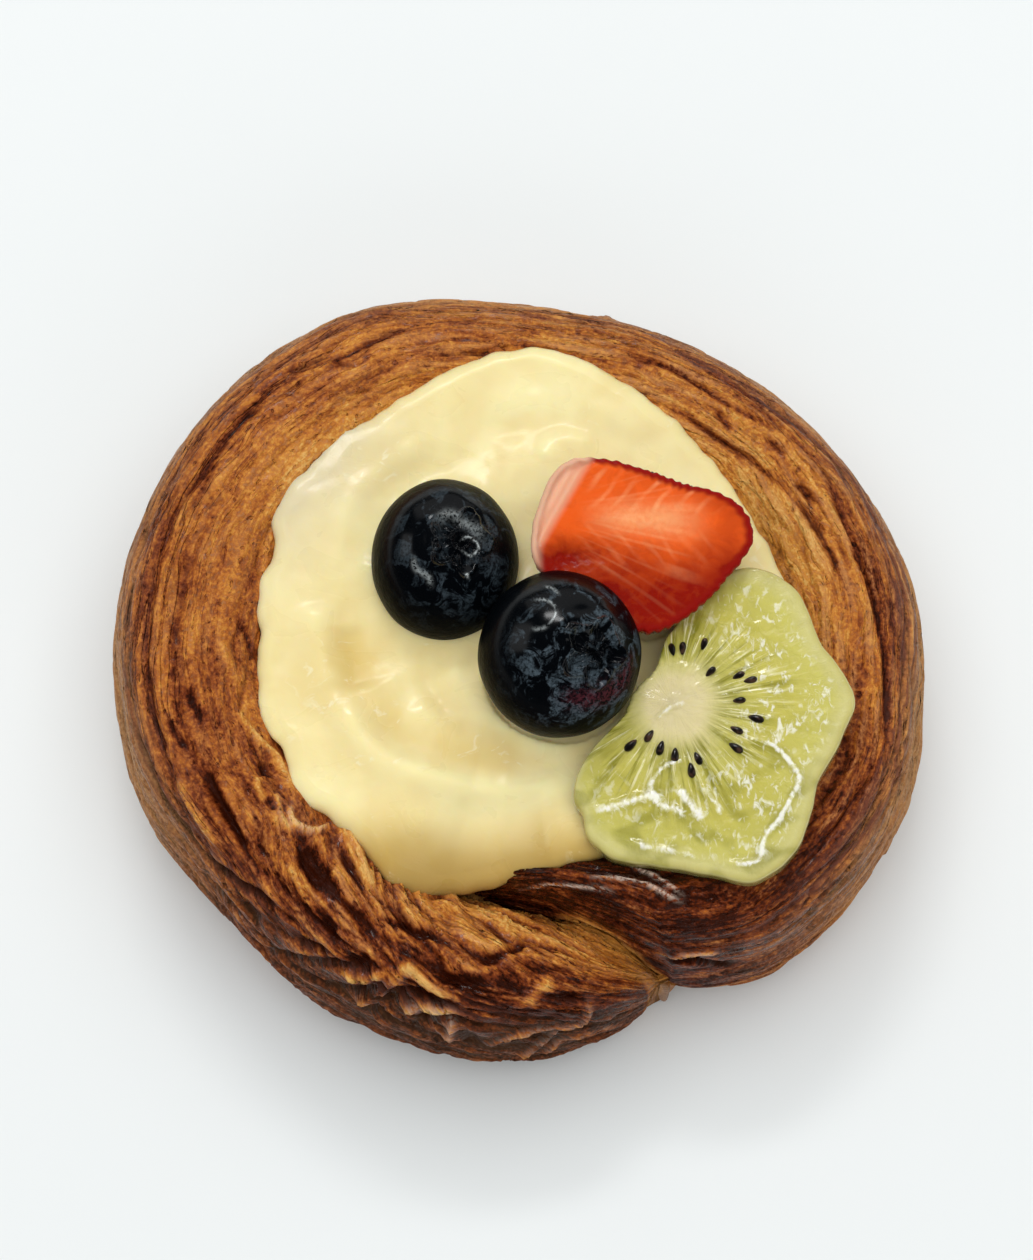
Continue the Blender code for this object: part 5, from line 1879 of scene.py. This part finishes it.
@dataclass
class Studio:
    """The pale floor, the soft light from the back, and the camera."""

    floor_half: float = 1.6  # the studio's measures are in metres
    floor_level: float = -0.00005
    aim: Triple = (-0.0003, 0.0043, 0.015)
    elevation: float = 72.0
    distance: float = 0.36
    sensor: float = 36.0
    lens: float = 83.1
    room: float = 0.37  # strength of the even light
    room_colour: Colour = (0.97, 1.0, 1.0, 1.0)
    lamps: tuple[Lamp, ...] = (
        Lamp("ceiling", (0.0, 0.14, 1.0), (1.3, 1.3), 8.8, glossy=False),
        Lamp("front_fill", (0.1, -1.0, 0.6), (1.2, 0.5), 2.1, glossy=False),
        Lamp("window", (-0.12, 0.75, 0.95), (0.42, 0.13), 2.2),
        Lamp("back_card", (0.0, 1.1, 0.55), (1.8, 0.7), 1.6, diffuse=False),
        Lamp("left_card", (-0.9, 0.25, 0.6), (0.5, 0.5), 0.6, diffuse=False),
        Lamp("right_card", (0.9, 0.1, 0.6), (0.5, 0.5), 0.6, diffuse=False),
    )
    finish: FloorFinish = field(default_factory=FloorFinish)

    def build(self) -> None:
        """Sets everything up round the tart."""
        self.lay_floor()
        self.fill_room()
        for lamp in self.lamps:
            lamp.hang(Vector(self.aim))
        self.place_camera()
        view = bpy.context.scene.view_settings
        view.view_transform = "Standard"
        view.look = "None"

    def lay_floor(self) -> None:
        """Lays the floor just under the tart."""
        half, level = self.floor_half, self.floor_level
        mesh = bpy.data.meshes.new("floor")
        corners = [(-half, -half, level), (half, -half, level), (half, half, level), (-half, half, level)]
        mesh.from_pydata(corners, [], [(0, 1, 2, 3)])
        mesh.materials.append(self.finish.material())
        floor = bpy.data.objects.new("floor", mesh)
        bpy.context.scene.collection.objects.link(floor)

    def fill_room(self) -> None:
        """Fills the room with even light that leaves no reflection of its own."""
        world = bpy.data.worlds.new("room")
        bpy.context.scene.world = world
        world.use_nodes = True
        background = world.node_tree.nodes["Background"]
        background.inputs["Color"].default_value = self.room_colour
        background.inputs["Strength"].default_value = self.room
        world.cycles_visibility.glossy = False

    def place_camera(self) -> None:
        """Sets up the camera."""
        tilt = math.radians(self.elevation)
        data = bpy.data.cameras.new("camera")
        data.sensor_width, data.lens = self.sensor, self.lens
        camera = bpy.data.objects.new("camera", data)
        back = Vector((0, -math.cos(tilt), math.sin(tilt)))
        camera.location = Vector(self.aim) + self.distance * back
        camera.rotation_mode = "QUATERNION"
        camera.rotation_quaternion = (-back).to_track_quat("-Z", "Y")
        bpy.context.scene.collection.objects.link(camera)
        bpy.context.scene.camera = camera


def corners(box) -> list[list[float]]:
    """A box's two corners as plain lists."""
    return [list(corner) for corner in box]


def main() -> None:
    """Builds the tart and its studio."""
    logging.basicConfig(level=logging.INFO, format="%(name)s %(message)s")
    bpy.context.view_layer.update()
    pastry = Pastry()
    pastry.build()
    berries = [
        Blueberry(
            "blueberry_left", (-9.2, 9.3, 26.0), (8.9, 9.9, 8.8), (0.25, -0.04, 1.0),
            bloom=0.3,
            seed=3,
            glints=(
                Stroke(((-7.2, 8.9), (-6.4, 9.5), (-5.3, 9.1), (-5.1, 8.0), (-5.9, 7.3), (-7.0, 7.7)),
                       0, 0.14, 0.7),
                Stroke(((-10.0, 11.0), (-8.8, 12.2), (-7.2, 11.6), (-5.6, 10.6), (-4.4, 9.4)), 0, 0.6, 0.28),
                Stroke(((-12.8, 7.0), (-12.4, 5.6), (-11.0, 4.6), (-10.6, 3.6)), 0, 0.3, 0.35),
                Stroke(((-6.6, 4.8), (-6.2, 4.6)), 0, 0.18, 0.9),
            ),
        ),
        Blueberry(
            "blueberry_right", (4.5, -4.2, 31.0), (9.6, 9.9, 9.3), (0.5, -0.27, 1.0),
            bloom=0.85,
            blush=0.8,
            seed=7,
            glints=(
                Stroke(((1.4, -0.2), (2.8, -0.3), (3.9, -1.3), (3.8, -2.5), (3.0, -3.7)), 0, 0.12, 0.62),
                Stroke(((3.0, -3.7), (2.2, -4.0), (1.2, -3.9)), 0, 0.2, 0.3),
                Stroke(((2.6, 1.8), (3.6, 1.4), (4.4, 0.4)), 0, 0.14, 0.45),
            ),
        ),
    ]
    kiwi, strawberry = KiwiSlice(), StrawberryHalf()
    Custard().build(pastry, [*berries, kiwi, strawberry])
    skin = berries[0].finish.material()
    for berry in berries:
        berry.build(skin)
    kiwi.build()
    strawberry.build()
    Studio().build()


if __name__ == "__main__":
    main()
